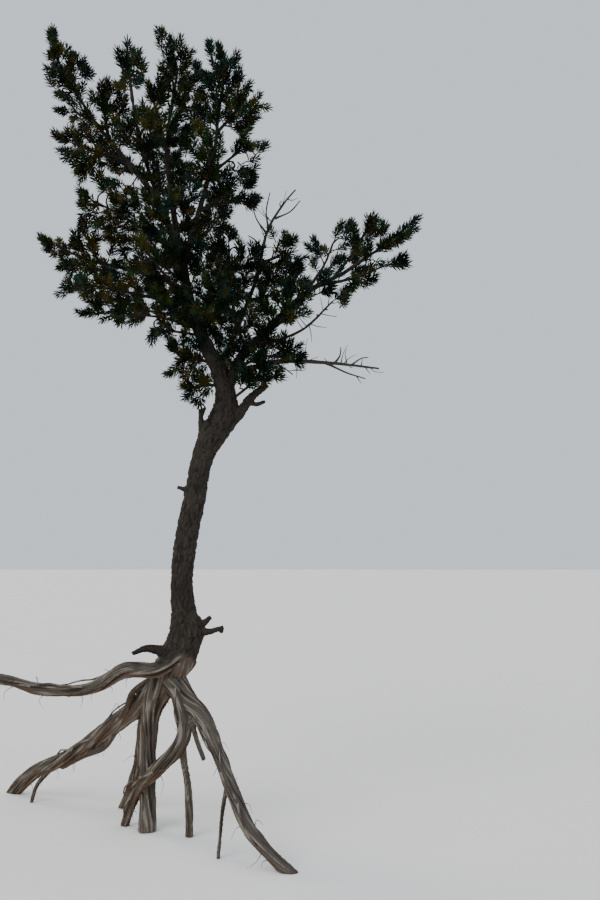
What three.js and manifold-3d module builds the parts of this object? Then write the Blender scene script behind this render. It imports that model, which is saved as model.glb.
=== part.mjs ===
// A wind-shaped pine that stands on its own bared roots.
// Millimetres, +Z up. The origin is the middle of the flat cut under the tap root, at ground level.
// Every limb is a tapered tube along a smooth line. Every foliage mass is one stem that leaves a
// limb, with twigs and sprays of needles that branch from it by one seeded rule.

import * as THREE from 'three';
import { mergeVertices } from 'three/addons/utils/BufferGeometryUtils.js';
import Module from 'manifold-3d';

const wasm = await Module();
wasm.setup();

// Clearance that a piece keeps from its neighbour
const GAP = 0.45;

// How fast a limb thins: its radius falls with this power of the way along it
const TAPER = 0.8;

// Sides and length of step of the tubes
const TRUNK_SIDES = 8;
const LIMB_SIDES = 6;
const SMALL_SIDES = 4;
const TWIG_SIDES = 3;
const TRUNK_STEP = 240;
const LIMB_STEP = 230;
const STEM_STEP = 280;

// The branching rule of the foliage, in millimetres, degrees and shares
const FIRST_SEED = 211;
const GOLDEN_TURN = 137.5;
const SPLAY = 52;
const JITTER = 14;
const LIFT = 0.28;
const TWIGGED_REACHES = 2.3;
const BARE_LEAST = 0.12;
const STEM_FOOT_RADIUS = 13;
const STEM_TIP_RADIUS = 6;
const TWIG_RADIUS = 6.5;
const TWIG_TIP_RADIUS = 4;
const LONG_TWIG = 110;
const LEAST_TWIG = 30;
const LAST_TWIG = 0.94;
const LOW_REACH = 1.15;
const REACH_FALL = 0.55;
const REACH_RANGE = [0.85, 1.15];
const FORK_SPLAY = 46;
const FORK_RANGE = [0.45, 0.65];

// One spray of needles: its length, its width and the forward sweep of its needles.
// A spray reaches past the end of its twig by less than its length, as a twig's reach allows.
const SPRAY_LENGTH = 250;
const SPRAY_RADIUS = 86;
const SPRAY_RANGE = [0.82, 1.07];
const SPRAY_OVERREACH = 0.45;
const TOP_SPRAY = 0.8;
const FORK_SPRAY = 0.85;
const END_SPIKES = 4;
const FORK_SPIKES = 3;
const SHANK = 20;
const FORK_SHANK = 2;
const SPRAY_CORE = 0.4;
const SPIKE_FORWARD = 0.66;
const CORE_FORWARD = 0.42;

const bark = new THREE.MeshStandardMaterial({ color: 0x4a3b31, roughness: 0.95, metalness: 0 });
const bareRoot = new THREE.MeshStandardMaterial({ color: 0x80705f, roughness: 0.9, metalness: 0 });
const deadWood = new THREE.MeshStandardMaterial({ color: 0x6d6258, roughness: 0.9, metalness: 0 });
const needles = new THREE.MeshStandardMaterial({ color: 0x2c3f2a, roughness: 0.7, metalness: 0 });

// The trunk: the tap root from the cut, the root crown, the bole, the crook above it and the
// slender stem to the fork of the leaders. Each row is a point of the middle line and a radius.
const TRUNK = [
  [0, 0, 0, 75],
  [0, 0, 300, 62],
  [0, 0, 660, 62],
  [25, 0, 910, 80],
  [95, 0, 1070, 112],
  [195, 0, 1260, 146],
  [260, 0, 1430, 136],
  [255, 0, 1610, 104],
  [232, 0, 1880, 88],
  [260, 0, 2200, 93],
  [320, 0, 2520, 90],
  [378, 0, 2840, 87],
  [455, 0, 3040, 112],
  [545, 0, 3190, 118],
  [565, 0, 3350, 90],
  [520, 0, 3550, 78],
  [415, 0, 3760, 61],
  [280, 0, 4080, 49],
  [190, 0, 4470, 42],
];

// Broken stubs on the trunk: points of the middle line, then the radius at foot and end
const TRUNK_STUBS = [
  { line: [[320, -20, 1530], [410, -40, 1555], [465, -45, 1600]], radius: [46, 15] },
  { line: [[340, -30, 1490], [470, -60, 1495], [565, -60, 1525]], radius: [38, 13] },
  { line: [[180, -40, 1320], [-20, -60, 1365], [-125, -70, 1330]], radius: [58, 14] },
  { line: [[280, 0, 2590], [225, -10, 2615], [190, -15, 2625]], radius: [20, 12] },
  { line: [[400, -10, 3000], [375, -20, 3110], [362, -25, 3250]], radius: [42, 13] },
  { line: [[366, -25, 3190], [402, -30, 3270]], radius: [14, 10] },
];

// Bared roots, from the root crown to the ground
const ROOTS = {
  root_west: {
    line: [[300, -60, 1340], [80, -120, 1220], [-190, -120, 1195], [-440, -100, 1070], [-800, -95, 1060],
      [-1230, -90, 1150]],
    radius: [66, 38],
  },
  root_west_foot: {
    line: [[-1238, -90, 1152], [-1500, -70, 1080], [-1720, -40, 680], [-1800, 0, -60]],
    radius: [38, 42],
  },
  root_brace: {
    line: [[120, 20, 1180], [-50, 110, 960], [-330, 330, 730], [-760, 660, 420], [-1160, 960, 190],
      [-1440, 1170, -60]],
    radius: [90, 44],
    twigs: [
      { line: [[-300, 300, 720], [-420, 400, 540], [-640, 560, 430], [-860, 740, 300]], radius: [26, 22] },
      { line: [[20, 20, 1140], [-150, 70, 1010], [-200, 110, 890], [-310, 290, 740]], radius: [26, 20] },
    ],
  },
  root_drop: {
    line: [[70, 40, 1090], [-50, 160, 800], [-140, 370, 420], [-250, 560, 140], [-340, 670, -60]],
    radius: [70, 32],
  },
  root_loop: {
    line: [[130, -40, 1150], [270, -150, 960], [290, -190, 720], [120, -190, 500], [-40, -60, 350],
      [-130, 60, 190], [-215, 150, -60]],
    radius: [72, 34],
    twigs: [
      { line: [[285, -180, 780], [295, -190, 580], [330, -170, 350], [347, -150, -60]], radius: [24, 32] },
    ],
  },
  root_east: {
    line: [[170, 0, 1160], [290, -120, 1000], [430, -220, 880], [560, -380, 680]],
    radius: [96, 52],
    twigs: [{ line: [[330, -150, 960], [375, -260, 790], [470, -400, 600]], radius: [24, 18] }],
  },
  root_east_foot: {
    line: [[565, -387, 672], [680, -560, 450], [830, -760, 220], [1000, -880, 70], [1180, -940, -70]],
    radius: [52, 44],
    twigs: [
      { line: [[660, -520, 500], [625, -580, 300], [612, -630, 120], [600, -650, -50]], radius: [20, 13] },
    ],
  },
};

// Living boughs, each from inside the wood that carries it
const BOUGHS = {
  leader_west: {
    line: [[190, 0, 4440], [60, 30, 4850], [-100, 70, 5160], [-300, 110, 5420], [-560, 150, 5750],
      [-740, 180, 6020]],
    radius: [38, 12],
  },
  leader_centre: {
    line: [[190, 0, 4440], [100, 100, 4940], [30, 200, 5380], [0, 280, 5760], [30, 330, 6110]],
    radius: [36, 12],
  },
  leader_east: {
    line: [[190, 0, 4440], [310, -50, 4850], [390, -100, 5120], [460, -140, 5410], [490, -160, 5730]],
    radius: [32, 12],
  },
  leader_inner: {
    line: [[60, 30, 4850], [-40, -120, 5110], [-130, -280, 5420], [-180, -380, 5710]],
    radius: [21, 11],
  },
  bough_west: { line: [[240, 0, 4250], [0, 50, 4380], [-300, 100, 4480]], radius: [24, 13] },
  bough_crest: {
    line: [[500, 50, 3590], [650, 100, 3980], [760, 120, 4280], [850, 120, 4540]],
    radius: [28, 14],
  },
  bough_east: {
    line: [[560, 0, 3400], [700, -20, 3710], [880, -50, 3880], [1230, -80, 4220], [1520, -100, 4370]],
    radius: [52, 16],
  },
};

// Dead limbs with their bare side twigs
const DEAD_LIMBS = {
  dead_bough: {
    line: [[520, 0, 3540], [780, 50, 3620], [1000, 100, 3680], [1400, 140, 3680], [1830, 180, 3640]],
    radius: [24, 6],
    twigs: [
      { line: [[1380, 138, 3680], [1540, 130, 3600], [1710, 120, 3540]], radius: [9, 4] },
      { line: [[1460, 145, 3680], [1500, 140, 3740], [1510, 130, 3810]], radius: [7, 4] },
      { line: [[1080, 110, 3680], [1120, 120, 3760], [1200, 130, 3850]], radius: [7, 4] },
      { line: [[960, 95, 3670], [1060, 60, 3600], [1110, 50, 3560]], radius: [7, 4] },
      { line: [[1600, 155, 3665], [1680, 150, 3720], [1740, 150, 3730]], radius: [6, 4] },
    ],
  },
  dead_snag: {
    line: [[820, 120, 4440], [850, 120, 4650], [900, 140, 4850], [1040, 150, 5090], [1130, 150, 5200]],
    radius: [15, 5],
    twigs: [
      { line: [[955, 145, 4940], [1080, 170, 5010], [1170, 190, 5120]], radius: [7, 4] },
      { line: [[900, 140, 4840], [880, 120, 4990], [910, 140, 5170]], radius: [7, 4] },
      { line: [[885, 135, 4800], [800, 120, 4920], [770, 110, 5010]], radius: [7, 4] },
      { line: [[852, 120, 4660], [780, 105, 4740], [730, 100, 4770]], radius: [7, 4] },
    ],
  },
  dead_stub: {
    line: [[530, 0, 3110], [660, -10, 3205], [765, -30, 3345], [895, -50, 3450]],
    radius: [60, 23],
    twigs: [{ line: [[755, -30, 3310], [820, -40, 3295], [880, -45, 3315]], radius: [20, 12] }],
  },
};

// A foliage mass: the limb and the height at which its stem leaves it, the point that the stem
// bends through, its tip, the reach of its twigs, how many there are and the turn of the first
const TIP = Infinity;
const mass = (on, leaves, via, tip, reach, twigs, turn) => ({ on, leaves, via, tip, reach, twigs, turn });

const MASSES = {
  west_top: mass('leader_west', TIP, [-930, 200, 6340], [-1050, 200, 6690], 260, 5, 20),
  west_shoulder: mass('leader_west', 5800, [-830, 300, 5990], [-1050, 340, 6030], 190, 3, 90),
  west_elbow: mass('leader_west', 5440, [-580, 0, 5480], [-940, -50, 5600], 220, 4, 200),
  west_inner: mass('leader_west', 5640, [-480, -60, 5810], [-430, -140, 6060], 190, 3, 0),
  west_back: mass('leader_west', 5260, [-360, 400, 5520], [-560, 640, 5780], 260, 4, 30),
  inner_top: mass('leader_inner', TIP, [-210, -420, 5960], [-230, -430, 6240], 230, 4, 60),
  inner_front: mass('leader_inner', 5240, [-110, -480, 5350], [-100, -720, 5480], 240, 4, 100),
  centre_top: mass('leader_centre', TIP, [60, 360, 6440], [-30, 370, 6760], 250, 4, 300),
  centre_east: mass('leader_centre', 5830, [140, 370, 6140], [270, 370, 6500], 190, 3, 150),
  centre_west: mass('leader_centre', 5560, [-60, 140, 5870], [-160, 80, 6170], 190, 3, 210),
  centre_back: mass('leader_centre', 5240, [-20, 500, 5600], [-130, 780, 5980], 280, 4, 60),
  east_top: mass('leader_east', TIP, [530, -180, 6020], [480, -200, 6340], 250, 5, 30),
  east_shoulder: mass('leader_east', 5560, [640, -80, 5790], [870, -40, 5950], 190, 3, 120),
  east_elbow: mass('leader_east', 5200, [620, -170, 5350], [870, -220, 5500], 190, 3, 10),
  east_low: mass('leader_east', 4930, [580, 60, 5060], [860, 120, 5180], 210, 3, 250),
  east_front: mass('leader_east', 5020, [450, -400, 5140], [450, -700, 5310], 250, 4, 90),
  west_upper: mass('leader_west', 4620, [-270, -140, 4830], [-660, -220, 5030], 250, 4, 330),
  west_high: mass('bough_west', TIP, [-650, 140, 4580], [-1080, 160, 4780], 260, 5, 80),
  west_mid: mass('trunk', 4120, [-240, -180, 4190], [-790, -280, 4260], 240, 4, 20),
  west_low: mass('trunk', 4000, [-150, 220, 4150], [-740, 300, 4140], 210, 4, 110),
  west_bottom: mass('trunk', 3920, [80, -180, 3970], [-330, -320, 3990], 200, 4, 70),
  heart: mass('bough_crest', 3950, [600, 0, 4250], [570, -70, 4820], 230, 5, 170),
  front_high: mass('trunk', 4350, [180, -380, 4620], [220, -760, 4820], 300, 4, 45),
  front_mid: mass('trunk', 4130, [90, -400, 4280], [-80, -760, 4440], 300, 5, 160),
  front_low: mass('trunk', 3900, [470, -380, 4010], [600, -720, 4170], 290, 5, 10),
  back_high: mass('leader_east', 4620, [370, 380, 4930], [480, 720, 5270], 290, 5, 120),
  back_mid: mass('trunk', 4330, [10, 430, 4580], [-260, 780, 4930], 300, 4, 200),
  back_low: mass('trunk', 3980, [420, 400, 4180], [620, 740, 4460], 300, 4, 20),
  back_west: mass('trunk', 4170, [-120, 430, 4330], [-540, 700, 4500], 270, 4, 60),
  crest: mass('bough_crest', TIP, [990, 90, 4590], [1190, 60, 4740], 190, 4, 200),
  crest_back: mass('bough_crest', 4200, [1020, 300, 4360], [1320, 380, 4700], 230, 4, 0),
  east_under: mass('bough_east', 3880, [1040, -200, 3950], [1260, -340, 4150], 230, 4, 300),
  low_plume: mass('bough_east', 3590, [880, -160, 3660], [1240, -200, 3640], 200, 5, 60),
  low_tuft: mass('trunk', 3300, [820, -110, 3470], [1080, -130, 3540], 90, 2, 180),
  low_east: mass('bough_east', 3760, [1180, -260, 3850], [1570, -260, 4220], 130, 3, 240),
  east_tip: mass('bough_east', TIP, [1790, -100, 4560], [2150, -100, 4850], 190, 4, 100),
  east_upper: mass('bough_east', 4330, [1620, 80, 4620], [1800, 120, 4960], 180, 3, 320),
  east_lower: mass('bough_east', 4270, [1640, -200, 4310], [2020, -250, 4460], 180, 4, 60),
  east_fork: mass('bough_east', 4200, [1380, 100, 4530], [1520, 140, 4900], 170, 3, 210),
  low_left: mass('trunk', 3870, [130, -110, 3880], [-140, -130, 3840], 110, 2, 40),
  low_skirt: mass('trunk', 3640, [220, 80, 3710], [20, 120, 3620], 130, 3, 300),
  low_hang: mass('trunk', 3450, [370, -120, 3430], [240, -170, 3280], 110, 2, 130),
};

const vector = (point) => new THREE.Vector3(point[0], point[1], point[2]);
const curveThrough = (points) => new THREE.CatmullRomCurve3(points.map(vector));
const radians = THREE.MathUtils.degToRad;

// A closed three.js geometry as a solid
function solidOf(geometry) {
  const bare = geometry.clone();
  bare.deleteAttribute('normal');
  bare.deleteAttribute('uv');
  const merged = mergeVertices(bare, 1e-4);
  return new wasm.Manifold(new wasm.Mesh({
    numProp: 3,
    vertProperties: Float32Array.from(merged.attributes.position.array),
    triVerts: Uint32Array.from(merged.index.array),
  }));
}

// A solid as a named mesh
function meshOf(name, solid, material) {
  const result = solid.getMesh();
  const geometry = new THREE.BufferGeometry();
  geometry.setAttribute('position', new THREE.BufferAttribute(result.vertProperties, 3));
  geometry.setIndex(new THREE.BufferAttribute(result.triVerts, 1));
  geometry.computeVertexNormals();
  const mesh = new THREE.Mesh(geometry, material);
  mesh.name = name;
  return mesh;
}

// The number of straight steps that a tube along a curve has
const stepsOf = (curve, step) => Math.max(1, Math.round(curve.getLength() / step));

// A tapered tube along a curve, grown by a clearance on every side
function tube(curve, radiusAt, sides, step, grow = 0) {
  const steps = stepsOf(curve, step);
  const geometry = new THREE.CylinderGeometry(1, 1, 1, sides, steps);
  const frames = curve.computeFrenetFrames(steps, false);
  const centres = frames.tangents.map((tangent, i) => curve.getPointAt(i / steps));
  centres[0].addScaledVector(frames.tangents[0], -grow);
  centres[steps].addScaledVector(frames.tangents[steps], grow);
  const position = geometry.attributes.position;
  const place = new THREE.Vector3();
  for (let v = 0; v < position.count; v++) {
    const i = Math.round((position.getY(v) + 0.5) * steps);
    const radius = radiusAt(i / steps) + grow;
    place.copy(centres[i])
      .addScaledVector(frames.normals[i], position.getX(v) * radius)
      .addScaledVector(frames.binormals[i], -position.getZ(v) * radius);
    position.setXYZ(v, place.x, place.y, place.z);
  }
  return solidOf(geometry);
}

const taper = ([foot, end]) => (t) => THREE.MathUtils.lerp(foot, end, Math.pow(t, TAPER));

const taperedTube = ({ line, radius }, sides, grow) => (
  tube(curveThrough(line), taper(radius), sides, LIMB_STEP, grow));

// A limb with its side twigs, grown by a clearance
function limb({ line, radius, twigs = [] }, sides, grow) {
  return wasm.Manifold.union([
    taperedTube({ line, radius }, sides, grow),
    ...twigs.map((twig) => taperedTube(twig, SMALL_SIDES, grow)),
  ]);
}

// The trunk's radius at a share of its length, from the rows of its table
function trunkRadii(curve) {
  const shares = TRUNK.map((row, i) => arcShare(curve, i / (TRUNK.length - 1)));
  return (share) => {
    let i = 1;
    while (i < TRUNK.length - 1 && shares[i] < share) i++;
    const mix = (share - shares[i - 1]) / (shares[i] - shares[i - 1]);
    return THREE.MathUtils.lerp(TRUNK[i - 1][3], TRUNK[i][3], mix);
  };
}

// The share of a curve's length that lies before its parameter t
function arcShare(curve, t) {
  const lengths = curve.getLengths();
  const place = t * (lengths.length - 1);
  const whole = Math.min(Math.floor(place), lengths.length - 2);
  return THREE.MathUtils.lerp(lengths[whole], lengths[whole + 1], place - whole) / lengths.at(-1);
}

// The largest separate piece of a solid
function largest(solid) {
  const pieces = solid.decompose();
  return pieces.reduce((best, piece) => (piece.volume() > best.volume() ? piece : best));
}

// The part of a solid that stands above the ground
function aboveGround(solid) {
  const below = new THREE.BoxGeometry(6000, 6000, 1000);
  below.translate(0, 0, -500);
  return solid.subtract(solidOf(below));
}

// The limbs, each cut clear of those made before it
const curves = {};
const limbs = {};
const keptClear = [];

function addLimb(name, build, curve, material) {
  let solid = build(0);
  if (keptClear.length > 0) solid = solid.subtract(wasm.Manifold.union(keptClear));
  solid = largest(aboveGround(solid));
  keptClear.push(build(GAP));
  curves[name] = curve;
  limbs[name] = { solid, material };
}

const trunkCurve = curveThrough(TRUNK);
const trunkRadius = trunkRadii(trunkCurve);
addLimb('trunk', (grow) => wasm.Manifold.union([
  tube(trunkCurve, trunkRadius, TRUNK_SIDES, TRUNK_STEP, grow),
  ...TRUNK_STUBS.map((stub) => taperedTube(stub, SMALL_SIDES, grow)),
]), trunkCurve, bark);

for (const [group, material, sides] of [[ROOTS, bareRoot, LIMB_SIDES], [BOUGHS, bark, LIMB_SIDES],
  [DEAD_LIMBS, deadWood, SMALL_SIDES]]) {
  for (const [name, form] of Object.entries(group)) {
    addLimb(name, (grow) => limb(form, sides, grow), curveThrough(form.line), material);
  }
}

// Repeatable random numbers from 0 to 1
function seededRandom(seed) {
  let state = seed >>> 0;
  return () => {
    state = (Math.imul(state, 1664525) + 1013904223) >>> 0;
    return state / 4294967296;
  };
}

// The point where a limb's middle line first passes a height, or else its tip
function leavingPoint(curve, height) {
  const points = curve.getSpacedPoints(500);
  return points.find((point) => point.z >= height) ?? points[500];
}

// One spray of needles as a spindle with a few forward-swept spikes, whose foot tapers back
// to a root that lies a shank behind it
function spray(root, axis, length, radius, turn, spikes, shank) {
  const geometry = new THREE.SphereGeometry(1, 2 * spikes, 2);
  const position = geometry.attributes.position;
  const turned = new THREE.Quaternion().setFromUnitVectors(new THREE.Vector3(0, 1, 0), axis);
  const place = new THREE.Vector3();
  for (let v = 0; v < position.count; v++) {
    const x = position.getX(v);
    const z = position.getZ(v);
    const up = position.getY(v);
    if (Math.abs(up) > 0.5) {
      place.set(0, up > 0 ? length : -shank, 0);
    } else {
      const spoke = Math.round(Math.atan2(z, x) / Math.PI * spikes);
      const spiked = spoke % 2 === 0;
      const out = spiked ? radius : radius * SPRAY_CORE;
      const angle = spoke * Math.PI / spikes + turn;
      const forward = length * (spiked ? SPIKE_FORWARD : CORE_FORWARD);
      place.set(out * Math.cos(angle), forward, out * Math.sin(angle));
    }
    place.applyQuaternion(turned).add(root);
    position.setXYZ(v, place.x, place.y, place.z);
  }
  return solidOf(geometry);
}

// A direction bent from one axis by an angle towards a turned side
function splayed(axis, turn, angle) {
  const flat = Math.abs(axis.y) > 0.9 ? new THREE.Vector3(0, 0, 1) : new THREE.Vector3(0, 1, 0);
  const wide = new THREE.Vector3().crossVectors(axis, flat).normalize();
  const deep = new THREE.Vector3().crossVectors(wide, axis);
  const side = wide.multiplyScalar(Math.cos(turn)).addScaledVector(deep, Math.sin(turn));
  return axis.clone().multiplyScalar(Math.cos(angle)).addScaledVector(side, Math.sin(angle));
}

// The point at a share of the middle line of a tube of straight steps
function pointOnTube(curve, step, share) {
  const steps = stepsOf(curve, step);
  const i = Math.min(Math.floor(share * steps), steps - 1);
  return curve.getPointAt(i / steps).lerp(curve.getPointAt((i + 1) / steps), share * steps - i);
}

function straightTube(from, to, foot, end) {
  const curve = new THREE.LineCurve3(from, to);
  return tube(curve, taper([foot, end]), TWIG_SIDES, from.distanceTo(to));
}

// The stem of a mass and the candidates that the branching rule gives for its twigs.
// A candidate is one twig with its end spray, or one spray that forks from a long twig.
function grow(form, seed) {
  const random = seededRandom(seed);
  const between = (low, high) => THREE.MathUtils.lerp(low, high, random());
  const anyTurn = () => between(0, 2 * Math.PI);
  const start = leavingPoint(curves[form.on], form.leaves);
  const tip = vector(form.tip);
  const via = vector(form.via);
  const crown = via.clone().sub(tip).setLength(SPRAY_LENGTH * TOP_SPRAY).add(tip);
  const stemCurve = new THREE.CatmullRomCurve3([start, via, crown]);
  const ahead = stemCurve.getTangent(1);
  const stem = wasm.Manifold.union([
    tube(stemCurve, taper([STEM_FOOT_RADIUS, STEM_TIP_RADIUS]), SMALL_SIDES, STEM_STEP),
    spray(crown, ahead, SPRAY_LENGTH * TOP_SPRAY, SPRAY_RADIUS, anyTurn(), END_SPIKES, SHANK),
  ]);
  const bare = Math.max(BARE_LEAST, 1 - TWIGGED_REACHES * form.reach / stemCurve.getLength());
  const candidates = [];
  for (let k = 0; k < form.twigs; k++) {
    const share = THREE.MathUtils.lerp(bare, LAST_TWIG, (k + 0.5) / form.twigs);
    const root = pointOnTube(stemCurve, STEM_STEP, share);
    const turn = radians(form.turn + k * GOLDEN_TURN + between(-JITTER, JITTER));
    const direction = splayed(stemCurve.getTangentAt(share), turn, radians(SPLAY));
    direction.z += between(0, LIFT);
    direction.normalize();
    const whole = form.reach * (LOW_REACH - REACH_FALL * share) * between(...REACH_RANGE);
    const length = SPRAY_LENGTH * between(...SPRAY_RANGE);
    const twigLength = Math.max(LEAST_TWIG, whole - length * SPRAY_OVERREACH);
    const twigEnd = root.clone().addScaledVector(direction, twigLength);
    const isLong = twigLength > LONG_TWIG;
    const shank = isLong ? SHANK : twigLength;
    const end = spray(twigEnd, direction, length, SPRAY_RADIUS, anyTurn(), END_SPIKES, shank);
    if (!isLong) {
      candidates.push(end);
      continue;
    }
    candidates.push(end.add(straightTube(root, twigEnd, TWIG_RADIUS, TWIG_TIP_RADIUS)));
    const forkTurn = anyTurn();
    for (const side of [0, Math.PI]) {
      const forkRoot = root.clone().lerp(twigEnd, between(...FORK_RANGE));
      const axis = splayed(direction, forkTurn + side, radians(FORK_SPLAY));
      const reach = length * FORK_SPRAY;
      candidates.push(spray(forkRoot, axis, reach, SPRAY_RADIUS, anyTurn(), FORK_SPIKES, FORK_SHANK));
    }
  }
  return { stem, candidates };
}

// Whether two boxes come within a distance of each other
function boxesNear(a, b, distance) {
  return [0, 1, 2].every((i) => a.min[i] - distance < b.max[i] && b.min[i] - distance < a.max[i]);
}

const touches = (solid, box, other) => boxesNear(box, other.box, GAP) && solid.minGap(other.solid, 1) < GAP;
const boxed = (solid) => ({ solid, box: solid.boundingBox() });

const carriers = Object.values(limbs).map(({ solid }) => boxed(solid));
const grown = Object.entries(MASSES).map(([name, form], i) => {
  const { stem, candidates } = grow(form, FIRST_SEED + i);
  return { name, stem: boxed(stem), candidates, kept: [] };
});
for (const one of grown) {
  const others = grown.filter((other) => other !== one);
  for (const candidate of one.candidates) {
    const box = candidate.boundingBox();
    const blocked = carriers.some((other) => touches(candidate, box, other))
      || others.some((other) => touches(candidate, box, other.stem))
      || others.some((other) => other.kept.some((twig) => touches(candidate, box, twig)));
    if (!blocked) one.kept.push({ solid: candidate, box });
  }
}

const tree = new THREE.Group();
for (const [name, { solid, material }] of Object.entries(limbs)) {
  tree.add(meshOf(name, solid, material));
}
const wood = wasm.Manifold.union(keptClear);
for (const { name, stem, kept } of grown) {
  const whole = wasm.Manifold.union([stem.solid, ...kept.map(({ solid }) => solid)]);
  tree.add(meshOf(name, largest(whole.subtract(wood)), needles));
}

export default tree;
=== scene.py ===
"""Looks of a wind-shaped pine that stands on its own bared roots, in metres, +Z up.

Trunk, roots and boughs follow the smooth lines of the frame's solids and carry the relief of bark
and of weathered wood. Each foliage mass is grown again by the same seeded rule and carried on to
finer twigs, each with its brush of needles.
"""

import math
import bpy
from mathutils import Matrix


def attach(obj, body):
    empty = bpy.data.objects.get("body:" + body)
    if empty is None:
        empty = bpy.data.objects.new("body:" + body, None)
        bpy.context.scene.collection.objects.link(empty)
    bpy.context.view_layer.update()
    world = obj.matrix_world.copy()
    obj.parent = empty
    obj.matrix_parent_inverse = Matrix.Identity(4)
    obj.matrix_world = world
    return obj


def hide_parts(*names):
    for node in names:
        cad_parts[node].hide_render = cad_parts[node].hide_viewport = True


bl_info = {
    "name": "Wind-Shaped Pine",
    "version": (1, 0, 0),
    "blender": (4, 5, 0),
    "location": "3D View > Sidebar > Pine",
    "description": "Bark, bared roots, dead limbs, twigs and needles of a wind-shaped pine",
    "category": "Add Mesh",
}

from types import SimpleNamespace

import bmesh
import bpy
import numpy as np
from bpy.props import FloatProperty, FloatVectorProperty, PointerProperty
from mathutils import Vector, noise
from mathutils.kdtree import KDTree

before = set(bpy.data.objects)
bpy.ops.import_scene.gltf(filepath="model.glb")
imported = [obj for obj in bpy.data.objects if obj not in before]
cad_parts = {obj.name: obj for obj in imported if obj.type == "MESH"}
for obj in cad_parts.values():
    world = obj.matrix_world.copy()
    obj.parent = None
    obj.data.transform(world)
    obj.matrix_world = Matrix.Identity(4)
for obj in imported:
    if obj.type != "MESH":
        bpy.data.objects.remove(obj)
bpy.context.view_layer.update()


def limb(line, radius, *twigs):
    """A tapering limb: points of its middle line, its radius at foot and end, and its side twigs."""
    return SimpleNamespace(line=line, radius=radius, twigs=twigs)


def mass(on, leaves, via, tip, reach, twigs, turn):
    """A foliage mass, as its rows in MASSES say."""
    return SimpleNamespace(on=on, leaves=leaves, via=via, tip=tip, reach=reach, twigs=twigs, turn=turn)


# The height of a mass that leaves its limb at the tip, past every limb
TIP = math.inf

# The trunk: the tap root from the cut, the root crown, the bole, the crook above it and the
# slender stem to the fork of the leaders. Each row is a point of the middle line and a radius.
TRUNK = [
    (0, 0, 0, 0.075),
    (0, 0, 0.3, 0.062),
    (0, 0, 0.66, 0.062),
    (0.025, 0, 0.91, 0.08),
    (0.095, 0, 1.07, 0.112),
    (0.195, 0, 1.26, 0.146),
    (0.26, 0, 1.43, 0.136),
    (0.255, 0, 1.61, 0.104),
    (0.232, 0, 1.88, 0.088),
    (0.26, 0, 2.2, 0.093),
    (0.32, 0, 2.52, 0.09),
    (0.378, 0, 2.84, 0.087),
    (0.455, 0, 3.04, 0.112),
    (0.545, 0, 3.19, 0.118),
    (0.565, 0, 3.35, 0.09),
    (0.52, 0, 3.55, 0.078),
    (0.415, 0, 3.76, 0.061),
    (0.28, 0, 4.08, 0.049),
    (0.19, 0, 4.47, 0.042),
]

# Broken stubs on the trunk: points of the middle line, then the radius at foot and end
TRUNK_STUBS = [
    limb([(0.32, -0.02, 1.53), (0.41, -0.04, 1.555), (0.465, -0.045, 1.6)], (0.046, 0.015)),
    limb([(0.34, -0.03, 1.49), (0.47, -0.06, 1.495), (0.565, -0.06, 1.525)], (0.038, 0.013)),
    limb([(0.18, -0.04, 1.32), (-0.02, -0.06, 1.365), (-0.125, -0.07, 1.33)], (0.058, 0.014)),
    limb([(0.28, 0, 2.59), (0.225, -0.01, 2.615), (0.19, -0.015, 2.625)], (0.02, 0.012)),
    limb([(0.4, -0.01, 3), (0.375, -0.02, 3.11), (0.362, -0.025, 3.25)], (0.042, 0.013)),
    limb([(0.366, -0.025, 3.19), (0.402, -0.03, 3.27)], (0.014, 0.01)),
]

# The swelling of the bole behind its two low stubs, and the knob that ends the longer one
BOLE_SWELLINGS = [
    limb([(0.24, -0.02, 1.68), (0.34, -0.03, 1.53), (0.345, -0.03, 1.46), (0.23, -0.02, 1.28)], (0.07, 0.07)),
    limb([(0.55, -0.06, 1.53), (0.56, -0.06, 1.485)], (0.016, 0.012)),
]

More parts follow.
